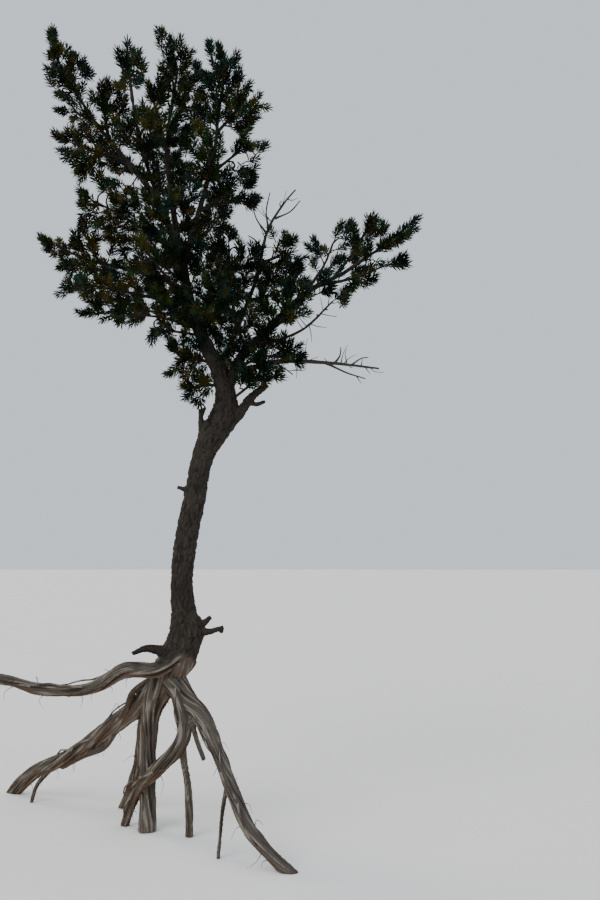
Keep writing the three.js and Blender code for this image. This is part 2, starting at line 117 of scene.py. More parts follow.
# Bared roots, from the root crown to the ground
ROOTS = {
    "root_west": limb([
        (0.3, -0.06, 1.34), (0.08, -0.12, 1.22), (-0.19, -0.12, 1.195), (-0.44, -0.1, 1.07),
        (-0.8, -0.095, 1.06), (-1.23, -0.09, 1.15),
    ], (0.066, 0.038)),
    "root_west_foot": limb([
        (-1.238, -0.09, 1.152), (-1.5, -0.07, 1.08), (-1.72, -0.04, 0.68), (-1.8, 0, -0.06),
    ], (0.038, 0.042)),
    "root_brace": limb(
        [
            (0.12, 0.02, 1.18), (-0.05, 0.11, 0.96), (-0.33, 0.33, 0.73), (-0.76, 0.66, 0.42),
            (-1.16, 0.96, 0.19), (-1.44, 1.17, -0.06),
        ],
        (0.09, 0.044),
        limb([
            (-0.3, 0.3, 0.72), (-0.42, 0.4, 0.54), (-0.64, 0.56, 0.43), (-0.86, 0.74, 0.3),
        ], (0.026, 0.022)),
        limb([
            (0.02, 0.02, 1.14), (-0.15, 0.07, 1.01), (-0.2, 0.11, 0.89), (-0.31, 0.29, 0.74),
        ], (0.026, 0.02)),
    ),
    "root_drop": limb([
        (0.07, 0.04, 1.09), (-0.05, 0.16, 0.8), (-0.14, 0.37, 0.42), (-0.25, 0.56, 0.14),
        (-0.34, 0.67, -0.06),
    ], (0.07, 0.032)),
    "root_loop": limb(
        [
            (0.13, -0.04, 1.15), (0.27, -0.15, 0.96), (0.29, -0.19, 0.72), (0.12, -0.19, 0.5),
            (-0.04, -0.06, 0.35), (-0.13, 0.06, 0.19), (-0.215, 0.15, -0.06),
        ],
        (0.072, 0.034),
        limb([
            (0.285, -0.18, 0.78), (0.295, -0.19, 0.58), (0.33, -0.17, 0.35), (0.347, -0.15, -0.06),
        ], (0.024, 0.032)),
    ),
    "root_east": limb(
        [(0.17, 0, 1.16), (0.29, -0.12, 1), (0.43, -0.22, 0.88), (0.56, -0.38, 0.68)],
        (0.096, 0.052),
        limb([(0.33, -0.15, 0.96), (0.375, -0.26, 0.79), (0.47, -0.4, 0.6)], (0.024, 0.018)),
    ),
    "root_east_foot": limb(
        [
            (0.565, -0.387, 0.672), (0.68, -0.56, 0.45), (0.83, -0.76, 0.22), (1, -0.88, 0.07),
            (1.18, -0.94, -0.07),
        ],
        (0.052, 0.044),
        limb([
            (0.66, -0.52, 0.5), (0.625, -0.58, 0.3), (0.612, -0.63, 0.12), (0.6, -0.65, -0.05),
        ], (0.02, 0.013)),
    ),
}

# The roots that run on into another where they bend to the ground
FEET = {"root_west": "root_west_foot", "root_east": "root_east_foot"}

# The toes that the brace root parts into above its foot
BRACE_TOES = [
    limb([
        (-0.94, 0.79, 0.37), (-1.13, 0.93, 0.28), (-1.34, 1.07, 0.12), (-1.46, 1.14, -0.03),
    ], (0.02, 0.015)),
    limb([(-0.98, 0.8, 0.26), (-1.09, 0.82, 0.13), (-1.13, 0.8, -0.03)], (0.022, 0.016)),
]

# Living boughs, each from inside the wood that carries it
BOUGHS = {
    "leader_west": limb([
        (0.19, 0, 4.44), (0.06, 0.03, 4.85), (-0.1, 0.07, 5.16), (-0.3, 0.11, 5.42),
        (-0.56, 0.15, 5.75), (-0.74, 0.18, 6.02),
    ], (0.038, 0.012)),
    "leader_centre": limb([
        (0.19, 0, 4.44), (0.1, 0.1, 4.94), (0.03, 0.2, 5.38), (0, 0.28, 5.76), (0.03, 0.33, 6.11),
    ], (0.036, 0.012)),
    "leader_east": limb([
        (0.19, 0, 4.44), (0.31, -0.05, 4.85), (0.39, -0.1, 5.12), (0.46, -0.14, 5.41),
        (0.49, -0.16, 5.73),
    ], (0.032, 0.012)),
    "leader_inner": limb([
        (0.06, 0.03, 4.85), (-0.04, -0.12, 5.11), (-0.13, -0.28, 5.42), (-0.18, -0.38, 5.71),
    ], (0.021, 0.011)),
    "bough_west": limb([(0.24, 0, 4.25), (0, 0.05, 4.38), (-0.3, 0.1, 4.48)], (0.024, 0.013)),
    "bough_crest": limb([
        (0.5, 0.05, 3.59), (0.65, 0.1, 3.98), (0.76, 0.12, 4.28), (0.85, 0.12, 4.54),
    ], (0.028, 0.014)),
    "bough_east": limb([
        (0.56, 0, 3.4), (0.7, -0.02, 3.71), (0.88, -0.05, 3.88), (1.23, -0.08, 4.22),
        (1.52, -0.1, 4.37),
    ], (0.052, 0.016)),
}

# Dead limbs with their bare side twigs
DEAD_LIMBS = {
    "dead_bough": limb(
        [(0.52, 0, 3.54), (0.78, 0.05, 3.62), (1, 0.1, 3.68), (1.4, 0.14, 3.68), (1.83, 0.18, 3.64)],
        (0.024, 0.006),
        limb([(1.38, 0.138, 3.68), (1.54, 0.13, 3.6), (1.71, 0.12, 3.54)], (0.009, 0.004)),
        limb([(1.46, 0.145, 3.68), (1.5, 0.14, 3.74), (1.51, 0.13, 3.81)], (0.007, 0.004)),
        limb([(1.08, 0.11, 3.68), (1.12, 0.12, 3.76), (1.2, 0.13, 3.85)], (0.007, 0.004)),
        limb([(0.96, 0.095, 3.67), (1.06, 0.06, 3.6), (1.11, 0.05, 3.56)], (0.007, 0.004)),
        limb([(1.6, 0.155, 3.665), (1.68, 0.15, 3.72), (1.74, 0.15, 3.73)], (0.006, 0.004)),
    ),
    "dead_snag": limb(
        [
            (0.82, 0.12, 4.44), (0.85, 0.12, 4.65), (0.9, 0.14, 4.85), (1.04, 0.15, 5.09),
            (1.13, 0.15, 5.2),
        ],
        (0.015, 0.005),
        limb([(0.955, 0.145, 4.94), (1.08, 0.17, 5.01), (1.17, 0.19, 5.12)], (0.007, 0.004)),
        limb([(0.9, 0.14, 4.84), (0.88, 0.12, 4.99), (0.91, 0.14, 5.17)], (0.007, 0.004)),
        limb([(0.885, 0.135, 4.8), (0.8, 0.12, 4.92), (0.77, 0.11, 5.01)], (0.007, 0.004)),
        limb([(0.852, 0.12, 4.66), (0.78, 0.105, 4.74), (0.73, 0.1, 4.77)], (0.007, 0.004)),
    ),
    "dead_stub": limb(
        [(0.53, 0, 3.11), (0.66, -0.01, 3.205), (0.765, -0.03, 3.345), (0.895, -0.05, 3.45)],
        (0.06, 0.023),
        limb([(0.755, -0.03, 3.31), (0.82, -0.04, 3.295), (0.88, -0.045, 3.315)], (0.02, 0.012)),
    ),
}

# Fine bare twigs on the dead limbs and along the low stem under the eastern bough
FINE_TWIGS = {
    "dead_bough": [
        [(1.51, 0.145, 3.68), (1.53, 0.14, 3.76), (1.565, 0.13, 3.83)],
        [(1.56, 0.15, 3.68), (1.545, 0.14, 3.75), (1.555, 0.14, 3.8)],
        [(1.68, 0.16, 3.66), (1.69, 0.16, 3.72)],
        [(1.71, 0.16, 3.65), (1.755, 0.15, 3.585)],
        [(1.22, 0.12, 3.69), (1.215, 0.11, 3.79), (1.23, 0.1, 3.88)],
        [(1.12, 0.11, 3.68), (1.14, 0.1, 3.61), (1.14, 0.09, 3.54)],
        [(1.14, 0.1, 3.61), (1.06, 0.09, 3.6)],
        [(1.14, 0.1, 3.61), (1.21, 0.1, 3.6)],
        [(1.64, 0.13, 3.56), (1.675, 0.12, 3.5)],
        [(1.4, 0.14, 3.68), (1.37, 0.13, 3.72)],
    ],
    "dead_snag": [
        [(0.93, 0.14, 4.91), (0.86, 0.13, 4.96), (0.78, 0.11, 5.05)],
        [(0.9, 0.14, 4.94), (0.86, 0.15, 4.99), (0.84, 0.15, 5.06)],
        [(1.0, 0.15, 5.03), (1.03, 0.16, 5.11), (1.05, 0.17, 5.2)],
        [(0.885, 0.13, 4.79), (0.85, 0.12, 4.86)],
        [(0.89, 0.14, 4.8), (0.84, 0.15, 4.81)],
        [(0.86, 0.12, 4.67), (0.93, 0.13, 4.68), (0.98, 0.13, 4.66)],
    ],
    "low_east": [
        [(1.33, -0.26, 3.985), (1.39, -0.28, 3.965), (1.46, -0.29, 3.95)],
        [(1.25, -0.26, 3.9), (1.31, -0.24, 3.885), (1.38, -0.23, 3.88)],
        [(1.24, -0.26, 3.89), (1.255, -0.27, 3.82), (1.26, -0.28, 3.75)],
        [(1.22, -0.26, 3.88), (1.16, -0.25, 3.96)],
        [(1.19, -0.26, 3.86), (1.13, -0.28, 3.94)],
        [(1.35, -0.26, 4.01), (1.33, -0.28, 4.11)],
        [(1.41, -0.26, 4.07), (1.46, -0.24, 4.08), (1.51, -0.23, 4.13)],
        [(1.39, -0.26, 4.05), (1.4, -0.28, 4.13), (1.37, -0.29, 4.2)],
    ],
}

# A foliage mass: the limb and the height at which its stem leaves it, the point that the stem
# bends through, its tip, the reach of its twigs, how many there are and the turn of the first
MASSES = {
    "west_top": mass("leader_west", TIP, (-0.93, 0.2, 6.34), (-1.05, 0.2, 6.69), 0.26, 5, 20),
    "west_shoulder": mass("leader_west", 5.8, (-0.83, 0.3, 5.99), (-1.05, 0.34, 6.03), 0.19, 3, 90),
    "west_elbow": mass("leader_west", 5.44, (-0.58, 0, 5.48), (-0.94, -0.05, 5.6), 0.22, 4, 200),
    "west_inner": mass("leader_west", 5.64, (-0.48, -0.06, 5.81), (-0.43, -0.14, 6.06), 0.19, 3, 0),
    "west_back": mass("leader_west", 5.26, (-0.36, 0.4, 5.52), (-0.56, 0.64, 5.78), 0.26, 4, 30),
    "inner_top": mass("leader_inner", TIP, (-0.21, -0.42, 5.96), (-0.23, -0.43, 6.24), 0.23, 4, 60),
    "inner_front": mass("leader_inner", 5.24, (-0.11, -0.48, 5.35), (-0.1, -0.72, 5.48), 0.24, 4, 100),
    "centre_top": mass("leader_centre", TIP, (0.06, 0.36, 6.44), (-0.03, 0.37, 6.76), 0.25, 4, 300),
    "centre_east": mass("leader_centre", 5.83, (0.14, 0.37, 6.14), (0.27, 0.37, 6.5), 0.19, 3, 150),
    "centre_west": mass("leader_centre", 5.56, (-0.06, 0.14, 5.87), (-0.16, 0.08, 6.17), 0.19, 3, 210),
    "centre_back": mass("leader_centre", 5.24, (-0.02, 0.5, 5.6), (-0.13, 0.78, 5.98), 0.28, 4, 60),
    "east_top": mass("leader_east", TIP, (0.53, -0.18, 6.02), (0.48, -0.2, 6.34), 0.25, 5, 30),
    "east_shoulder": mass("leader_east", 5.56, (0.64, -0.08, 5.79), (0.87, -0.04, 5.95), 0.19, 3, 120),
    "east_elbow": mass("leader_east", 5.2, (0.62, -0.17, 5.35), (0.87, -0.22, 5.5), 0.19, 3, 10),
    "east_low": mass("leader_east", 4.93, (0.58, 0.06, 5.06), (0.86, 0.12, 5.18), 0.21, 3, 250),
    "east_front": mass("leader_east", 5.02, (0.45, -0.4, 5.14), (0.45, -0.7, 5.31), 0.25, 4, 90),
    "west_upper": mass("leader_west", 4.62, (-0.27, -0.14, 4.83), (-0.66, -0.22, 5.03), 0.25, 4, 330),
    "west_high": mass("bough_west", TIP, (-0.65, 0.14, 4.58), (-1.08, 0.16, 4.78), 0.26, 5, 80),
    "west_mid": mass("trunk", 4.12, (-0.24, -0.18, 4.19), (-0.79, -0.28, 4.26), 0.24, 4, 20),
    "west_low": mass("trunk", 4, (-0.15, 0.22, 4.15), (-0.74, 0.3, 4.14), 0.21, 4, 110),
    "west_bottom": mass("trunk", 3.92, (0.08, -0.18, 3.97), (-0.33, -0.32, 3.99), 0.2, 4, 70),
    "heart": mass("bough_crest", 3.95, (0.6, 0, 4.25), (0.57, -0.07, 4.82), 0.23, 5, 170),
    "front_high": mass("trunk", 4.35, (0.18, -0.38, 4.62), (0.22, -0.76, 4.82), 0.3, 4, 45),
    "front_mid": mass("trunk", 4.13, (0.09, -0.4, 4.28), (-0.08, -0.76, 4.44), 0.3, 5, 160),
    "front_low": mass("trunk", 3.9, (0.47, -0.38, 4.01), (0.6, -0.72, 4.17), 0.29, 5, 10),
    "back_high": mass("leader_east", 4.62, (0.37, 0.38, 4.93), (0.48, 0.72, 5.27), 0.29, 5, 120),
    "back_mid": mass("trunk", 4.33, (0.01, 0.43, 4.58), (-0.26, 0.78, 4.93), 0.3, 4, 200),
    "back_low": mass("trunk", 3.98, (0.42, 0.4, 4.18), (0.62, 0.74, 4.46), 0.3, 4, 20),
    "back_west": mass("trunk", 4.17, (-0.12, 0.43, 4.33), (-0.54, 0.7, 4.5), 0.27, 4, 60),
    "crest": mass("bough_crest", TIP, (0.99, 0.09, 4.59), (1.19, 0.06, 4.74), 0.19, 4, 200),
    "crest_back": mass("bough_crest", 4.2, (1.02, 0.3, 4.36), (1.32, 0.38, 4.7), 0.23, 4, 0),
    "east_under": mass("bough_east", 3.88, (1.04, -0.2, 3.95), (1.26, -0.34, 4.15), 0.23, 4, 300),
    "low_plume": mass("bough_east", 3.59, (0.88, -0.16, 3.66), (1.24, -0.2, 3.64), 0.2, 5, 60),
    "low_tuft": mass("trunk", 3.3, (0.82, -0.11, 3.47), (1.08, -0.13, 3.54), 0.09, 2, 180),
    "low_east": mass("bough_east", 3.76, (1.18, -0.26, 3.85), (1.57, -0.26, 4.22), 0.13, 3, 240),
    "east_tip": mass("bough_east", TIP, (1.79, -0.1, 4.56), (2.15, -0.1, 4.85), 0.19, 4, 100),
    "east_upper": mass("bough_east", 4.33, (1.62, 0.08, 4.62), (1.8, 0.12, 4.96), 0.18, 3, 320),
    "east_lower": mass("bough_east", 4.27, (1.64, -0.2, 4.31), (2.02, -0.25, 4.46), 0.18, 4, 60),
    "east_fork": mass("bough_east", 4.2, (1.38, 0.1, 4.53), (1.52, 0.14, 4.9), 0.17, 3, 210),
    "low_left": mass("trunk", 3.87, (0.13, -0.11, 3.88), (-0.14, -0.13, 3.84), 0.11, 2, 40),
    "low_skirt": mass("trunk", 3.64, (0.22, 0.08, 3.71), (0.02, 0.12, 3.62), 0.13, 3, 300),
    "low_hang": mass("trunk", 3.45, (0.37, -0.12, 3.43), (0.24, -0.17, 3.28), 0.11, 2, 130),
}

# Single plumes that close the crown, as they are seen from the front. Each is the place of its
# middle, across and up in the plane of the trunk, and its size
PLUMES = (
    # the western leader
    (-0.81, 6.28, 1.0), (-0.85, 6.09, 0.9), (-0.91, 5.93, 0.8), (-0.63, 5.61, 1.0), (-0.81, 5.46, 1.0),
    (-0.65, 5.3, 1.0), (-0.51, 5.22, 0.9), (-0.36, 5.84, 1.0), (-0.31, 5.62, 1.0), (-0.15, 5.28, 0.8),
    (-0.95, 6.49, 1.0), (-0.92, 6.37, 0.8), (-0.59, 5.96, 0.8), (-0.49, 5.86, 0.8), (-0.59, 5.35, 0.7),
    (-0.4, 5.2, 0.8), (-0.22, 6.26, 0.7),
    # the inner and central leaders
    (-0.38, 6.31, 1.0), (-0.21, 5.99, 0.8), (-0.01, 6.53, 0.8), (0.14, 6.45, 0.9), (0.17, 6.32, 1.0),
    (-0.04, 6.09, 0.9), (0.13, 5.97, 0.9), (-0.05, 5.65, 0.8), (0.1, 5.54, 0.9), (-0.05, 5.33, 0.9),
    (0.14, 5.29, 1.0), (0.2, 4.97, 1.0), (0.27, 5.1, 1.2), (0.31, 5.23, 0.9), (-0.03, 6.02, 0.8),
    (0.18, 6.23, 0.8), (0.4, 6.07, 0.7), (0.17, 5.66, 0.8), (0.19, 5.25, 0.8), (-0.02, 5.19, 0.7),
    (0.4, 6.38, 0.8),
    # the eastern leader
    (0.6, 6.26, 1.0), (0.28, 5.88, 0.9), (0.39, 5.81, 1.2), (0.54, 5.94, 1.0), (0.74, 5.8, 1.2),
    (0.84, 5.89, 0.8), (0.22, 5.66, 1.2), (0.58, 5.49, 0.8), (0.83, 5.45, 1.0), (0.72, 5.27, 1.2),
    (0.71, 5.05, 0.9), (0.6, 6.11, 0.8), (0.34, 5.74, 0.9), (0.74, 5.74, 0.8), (0.65, 5.82, 0.7),
    (0.76, 5.2, 0.8), (0.75, 5.03, 0.8),
    # the west of the crown
    (-0.05, 4.96, 1.0), (-0.11, 5.09, 0.9), (-0.2, 4.98, 0.9), (-0.52, 4.85, 1.2), (-0.39, 4.69, 1.1),
    (-0.63, 4.78, 0.9), (-0.88, 4.58, 1.0), (-0.27, 4.38, 1.2), (-0.57, 4.46, 1.0), (-0.48, 4.33, 0.9),
    (-0.74, 4.27, 0.9), (-0.52, 4.14, 1.1), (-0.4, 4.84, 1.0), (-0.3, 4.6, 1.0), (-0.55, 4.65, 0.8),
    (-0.76, 4.49, 0.9), (-0.24, 4.32, 0.8), (-0.48, 4.1, 0.8), (-0.94, 4.67, 0.8), (-0.4, 4.77, 0.8),
    (-0.31, 4.02, 0.7),
    # its heart, and the root of the eastern bough
    (0.32, 4.43, 1.1), (0.33, 4.27, 1.0), (0.41, 4.17, 0.9), (0.72, 4.49, 1.3), (0.62, 4.46, 0.9),
    (0.66, 4.72, 0.9), (0.76, 4.01, 1.3), (0.71, 3.86, 1.0), (0.64, 4.07, 0.9), (0.49, 3.89, 1.1),
    (0.97, 4.37, 0.9), (1.07, 4.24, 0.8), (1.15, 4.44, 0.8), (0.87, 4.17, 0.9), (1.06, 3.78, 1.2),
    (0.23, 4.9, 1.1), (0.05, 4.98, 0.7), (-0.01, 4.9, 0.8), (0.3, 4.63, 0.8), (0.54, 4.63, 0.9),
    (0.72, 4.41, 0.9), (0.81, 4.6, 0.9), (0.64, 3.79, 1.1), (0.51, 3.82, 0.9), (0.59, 3.66, 1.0),
    (0.43, 3.91, 0.9), (0.99, 3.79, 0.9), (1.19, 4.31, 0.8), (1.08, 4.0, 0.9),
    (1.05, 4.67, 1.0), (1.05, 4.55, 0.8),
    # the eastern bough
    (1.6, 4.84, 1.0), (1.39, 4.27, 1.1), (1.35, 4.37, 0.8), (1.61, 4.31, 0.9), (2.0, 4.5, 0.8),
    (2.0, 4.75, 1.0), (1.56, 4.79, 0.9), (1.63, 4.71, 0.8), (1.75, 4.34, 0.8), (1.98, 4.7, 0.8),
    # low on the trunk
    (0.1, 3.75, 1.0), (0.13, 3.57, 1.0), (0.26, 3.46, 0.9), (0.33, 3.34, 0.8), (0.33, 3.79, 0.9),
    (0.78, 3.55, 1.0), (0.7, 3.5, 0.8), (0.76, 3.5, 0.8), (0.97, 3.55, 0.8), (-0.04, 3.89, 0.8),
    (0.15, 3.78, 0.7), (0.89, 3.55, 0.9), (0.2, 3.66, 0.8),
    # small ones through the whole crown
    (-0.77, 6.04, 0.6), (-0.79, 5.6, 0.6), (-0.71, 5.35, 0.6), (-0.53, 5.67, 0.6), (-0.42, 5.73, 0.6),
    (-0.53, 5.43, 0.7), (-0.4, 5.28, 0.6), (-0.32, 5.17, 0.6), (-0.47, 5.15, 0.6), (-0.38, 5.01, 0.6),
    (-0.1, 5.03, 0.6), (-0.14, 5.7, 0.7), (-0.09, 5.94, 0.7), (-0.17, 6.18, 0.6), (-0.01, 6.2, 0.6),
    (0.19, 6.03, 0.6), (0.13, 5.9, 0.6), (0.2, 5.55, 0.7), (0.33, 5.65, 0.7), (0.45, 5.75, 0.7),
    (0.45, 5.92, 0.6), (0.57, 5.87, 0.7), (0.33, 5.41, 0.6), (0.72, 5.5, 0.6), (0.66, 5.3, 0.6),
    (0.71, 6.06, 0.6), (0.28, 6.23, 0.6), (-0.69, 4.72, 0.7), (-0.7, 4.45, 0.7), (-0.54, 4.43, 0.6),
    (-0.34, 4.48, 0.6), (0.28, 4.48, 0.7), (0.41, 4.53, 0.6), (0.77, 4.59, 0.7), (0.84, 4.46, 0.7),
    (1.0, 4.48, 0.8), (0.97, 4.31, 0.8), (0.96, 4.19, 0.8), (1.16, 3.74, 0.6), (0.59, 4.0, 0.7),
    (0.62, 3.72, 0.6), (0.24, 3.95, 0.6), (0.24, 3.57, 0.6), (1.78, 4.87, 0.7), (1.87, 4.78, 0.6),
    (2.05, 4.72, 0.6), (1.86, 4.62, 0.6), (-0.95, 6.33, 0.6), (-0.93, 6.16, 0.6), (-0.67, 6.18, 0.6),
    (-0.33, 5.55, 0.6), (-0.63, 5.02, 0.6), (0.17, 5.51, 0.6), (0.86, 5.47, 0.7), (0.72, 5.17, 0.6),
    (0.83, 4.44, 0.6), (1.18, 4.25, 0.7), (0.82, 3.91, 0.7), (0.13, 3.76, 0.6), (0.29, 3.44, 0.6))

# Where the sky shows at the edge of the crown and through it, seen the same way, with its radius
GAPS = (
    # between and above the leaders
    (-0.51, 6.39, 0.08), (-0.11, 6.39, 0.08), (-0.1, 6.23, 0.05), (0.3, 6.48, 0.06), (0.63, 6.48, 0.09),
    (0.75, 6.18, 0.07), (-0.85, 6.55, 0.06), (0.23, 6.47, 0.03), (0.35, 6.3, 0.03),
    (-0.79, 6.49, 0.04), (-0.49, 6.27, 0.04), (-0.29, 6.56, 0.04), (0.5, 6.5, 0.04), (0.69, 6.36, 0.04),
    (-0.66, 5.96, 0.03), (0.07, 6.11, 0.03), (0.24, 6.0, 0.03), (-0.43, 6.13, 0.04),
    (-0.66, 6.04, 0.03), (0.1, 6.17, 0.02), (0.85, 5.96, 0.03),
    # the western edge
    (-1.06, 6.42, 0.05), (-1.02, 6.0, 0.08), (-0.87, 5.77, 0.05), (-0.95, 5.57, 0.04), (-0.66, 5.16, 0.03),
    (-0.98, 4.79, 0.05), (-0.85, 4.37, 0.07), (-0.94, 5.93, 0.06), (-0.88, 5.43, 0.04), (-0.95, 5.69, 0.03),
    (-0.71, 4.83, 0.03), (-1.04, 4.75, 0.04), (-0.93, 4.55, 0.03), (-0.88, 5.87, 0.03), (-0.79, 5.71, 0.03),
    # the eastern edge above the bough
    (0.56, 5.6, 0.07), (0.81, 5.63, 0.05), (0.81, 5.11, 0.04), (0.78, 4.9, 0.06), (0.62, 4.87, 0.07),
    (0.87, 5.92, 0.04), (0.5, 5.58, 0.03), (0.64, 5.62, 0.04), (0.85, 6.01, 0.03),
    (0.86, 5.74, 0.03), (0.92, 5.49, 0.04), (0.69, 5.41, 0.03), (0.66, 5.19, 0.03),
    # inside the crown
    (-0.22, 5.4, 0.05), (-0.29, 5.23, 0.06), (0.22, 5.42, 0.05), (-0.54, 5.75, 0.05), (-0.43, 4.56, 0.03),
    # the lower edge
    (-0.35, 3.9, 0.06), (-0.13, 3.87, 0.07), (0.16, 3.87, 0.05), (0.96, 3.43, 0.07), (1.07, 3.58, 0.06),
    (-0.02, 4.01, 0.04), (-0.2, 3.94, 0.03), (0.04, 3.8, 0.04), (0.1, 3.61, 0.03), (1.01, 3.63, 0.03),
    (1.24, 3.69, 0.03), (1.22, 3.82, 0.03), (1.02, 3.93, 0.03), (-0.42, 3.93, 0.04), (-0.02, 3.83, 0.03),
    (0.1, 3.68, 0.02), (1.04, 3.56, 0.03),
    # along the eastern bough
    (1.02, 4.82, 0.06), (1.45, 4.66, 0.08), (2.13, 4.64, 0.09), (1.89, 4.37, 0.07), (1.76, 4.26, 0.05),
    (1.8, 4.56, 0.06), (1.36, 4.05, 0.1), (1.61, 4.06, 0.06), (1.17, 3.98, 0.07), (1.17, 4.67, 0.04),
    (1.11, 4.53, 0.03), (1.24, 4.47, 0.03), (1.92, 4.81, 0.03), (1.27, 4.13, 0.06),
    (2.02, 4.86, 0.04), (1.64, 4.95, 0.03), (2.09, 4.55, 0.03), (1.63, 4.15, 0.03),
    (1.17, 4.74, 0.05), (1.56, 4.9, 0.04), (1.8, 4.95, 0.04), (1.92, 4.86, 0.04), (1.94, 4.58, 0.05),
    (1.62, 4.13, 0.04), (1.22, 3.78, 0.05), (1.05, 3.56, 0.04), (1.97, 4.87, 0.05),
    # beside the plumes
    (0.22, 6.53, 0.04), (0.36, 6.26, 0.06), (0.33, 6.38, 0.05), (0.68, 6.4, 0.06), (0.78, 6.12, 0.05),
    (-0.1, 6.19, 0.06), (-0.21, 6.03, 0.05), (-0.81, 5.71, 0.04), (0.53, 5.52, 0.05), (0.68, 5.4, 0.05),
    (0.92, 5.41, 0.04), (-0.42, 5.25, 0.04), (-0.72, 4.84, 0.05), (0.69, 4.76, 0.05), (0.72, 4.67, 0.03),
    (0.12, 3.66, 0.04), (0.34, 3.62, 0.03), (0.27, 3.33, 0.04), (0.94, 5.85, 0.05))

# How fast a limb thins: its radius falls with this power of the way along it
TAPER = 0.8

# A direction with more than this share along an axis counts as near it
NEAR_AXIS = 0.9

# Tubes: the step along each kind and its corners round
TRUNK_TUBE = (0.02, 24)
STUB_TUBE = (0.015, 12)
ROOT_TUBE = (0.02, 16)
STEM_TUBE = (0.03, 7)
TWIG_TUBE = (0.03, 6)
TWIGLET_TUBE = (0.03, 5)
SHOOT_TUBE = (0.045, 4)

# A limb that is modelled by itself: the step along and round it, its fewest and most corners, and
# how far up it its foot flares
LIMB_DETAIL = 0.008
LIMB_CORNERS = (6, 30)
FLARE_LENGTH = 0.05

# How much wider its foot flares on a strand, a bough and a dead limb
STRAND_FLARE = 0.3
BOUGH_FLARE = 0.5
DEAD_FLARE = 0.4

# The splinters of a broken end, in radii: the least and the rest, and their scale
SPLINTER_LEAST = 0.3
SPLINTER_RANGE = 1.4
SPLINTER_SCALE = 2.3

# Relief of bark, measured in plates: the widest plate in radii of its limb, how much a plate is
# drawn out along it, how cracks wander broadly and finely, as scale and strength, how wide they
# are, the scales of crumbs and lumps, and the deepest relief in radii
WIDEST_PLATE = 0.75
PLATE_DRAW = 0.42
BROAD_WANDER = (0.8, 0.5)
FINE_WANDER = (2.3, 0.22)
CRACK_WIDTH = 0.5
CRUMB_SCALE = 2.9
LUMP_SCALE = 0.6
DEEPEST_BARK = 0.16

# The height of bark and its share from crack to crest: where each starts, and what a plate, a
# crumb and a lump add to it
BARK_HEIGHT = (-0.62, 0.8, 0.45, 0.35)
BARK_SHARE = (0.16, 0.5, 0.42, 0.3)

# Relief of weathered grain: how far it winds round a limb to a metre, the scales of its ridges
# and its fine grain, round and along the limb, and the shift between them, how narrow a ridge is,
# the deepest relief in radii, and the scale and height of lumps, these too in radii
GRAIN_WIND = 1.9
RIDGE_SCALE = (2.3, 2.2)
FINE_SCALE = (5.5, 5.0)
FINE_SHIFT = 7
RIDGE_NARROWNESS = 2.6
DEEPEST_GRAIN = 0.22
GRAIN_LUMP_SCALE = (16.5, 5.5)
GRAIN_LUMP = 0.16

# The height of grain and its share from furrow to ridge: where each starts, and what a ridge and
# the fine grain add to it
GRAIN_HEIGHT = (-0.9, 1.3, 0.45)
GRAIN_SHARE = (0.12, 0.72, 0.45)

# How the bark ends at the roots: how far bark and bared wood run into each other, and how far and
# at which scale the edge between them wanders
BARK_EDGE = 0.035
EDGE_WANDER = 0.14
EDGE_SCALE = (9, 9, 4)

# The random numbers of the frame's solids: each is the last one times a factor and a step more,
# within a range
DRAW_FACTOR = 1664525
DRAW_STEP = 1013904223
DRAW_RANGE = 2**32

# How many points of a limb are tried for the height at which a stem leaves it
HEIGHTS_TRIED = 501

# The branching rule of the foliage, in metres, degrees and shares, as in the frame's solids
FIRST_SEED = 211
GOLDEN_TURN = 137.5
SPLAY = 52
JITTER = 14
LIFT = 0.28
TWIGGED_REACHES = 2.3
BARE_LEAST = 0.12
STEM_RADIUS = (0.013, 0.006)
TWIG_RADIUS = (0.0065, 0.004)
LONG_TWIG = 0.11
LEAST_TWIG = 0.03
LAST_TWIG = 0.94
LOW_REACH = 1.15
REACH_FALL = 0.55
REACH_RANGE = (0.85, 1.15)
FORK_SPLAY = 46
FORK_RANGE = (0.45, 0.65)
SPRAY_LENGTH = 0.25
SPRAY_RANGE = (0.82, 1.07)
SPRAY_OVERREACH = 0.45
TOP_SPRAY = 0.8
FORK_SPRAY = 0.85

# How a fused surface is smoothed, and where it is matched to its limbs: the step along a limb,
# how far from it, and the shift that makes the relief of each limb its own
EASE = 0.5
EASE_ROUNDS = 3
LIMB_STEP = 0.012
LIMB_MARGIN = 0.16
LIMB_SHIFT = 3.7

# How a spray is carried on to finer twigs. A main shoot runs up its middle and side shoots leave
# it lower down. Shares are of the spray's length.
MAIN_SHOOT = 0.76
SIDE_SHOOT = 0.56
SIDE_SPLAY = 36
SIDE_FROM = (0.1, 0.45)
SHOOT_RISE = 0.07
SHOOT_RADIUS = (0.0042, 0.0022)
CLAD_FROM = (0.16, 0.3)
END_SIDES = 2
FORK_SIDES = 1

# How much the shoots of a spray vary: the turn and splay of a side shoot in degrees, and its length
SIDE_TURN_JITTER = 20
SIDE_SPLAY_JITTER = 7
SIDE_RANGE = (0.85, 1.15)

# How far a twig bows, as a share of its length, and how many shoots have the tones of their spray
TWIG_BOW = 0.05
SAME_TONES = 0.75

# How many bumps of bark a twig has to a metre, and their height in radii
TWIG_BUMPS = 55
BUMP_HEIGHT = 0.28

# Lone shoots between the sprays: how many stand along a metre of twig and of stem, from which
# share on and up to which, their length, their splay and how much their turn varies
TWIG_SHOOTS = 7
STEM_SHOOTS = 12
LONE_FROM = 0.2
LONE_TO = 0.95
LONE_SHOOT = (0.11, 0.16)
LONE_SPLAY = (38, 62)
LONE_TURN_JITTER = 25

# Where along a shoot it is held against the gaps
GAP_TEST = (0.6, 1.0)

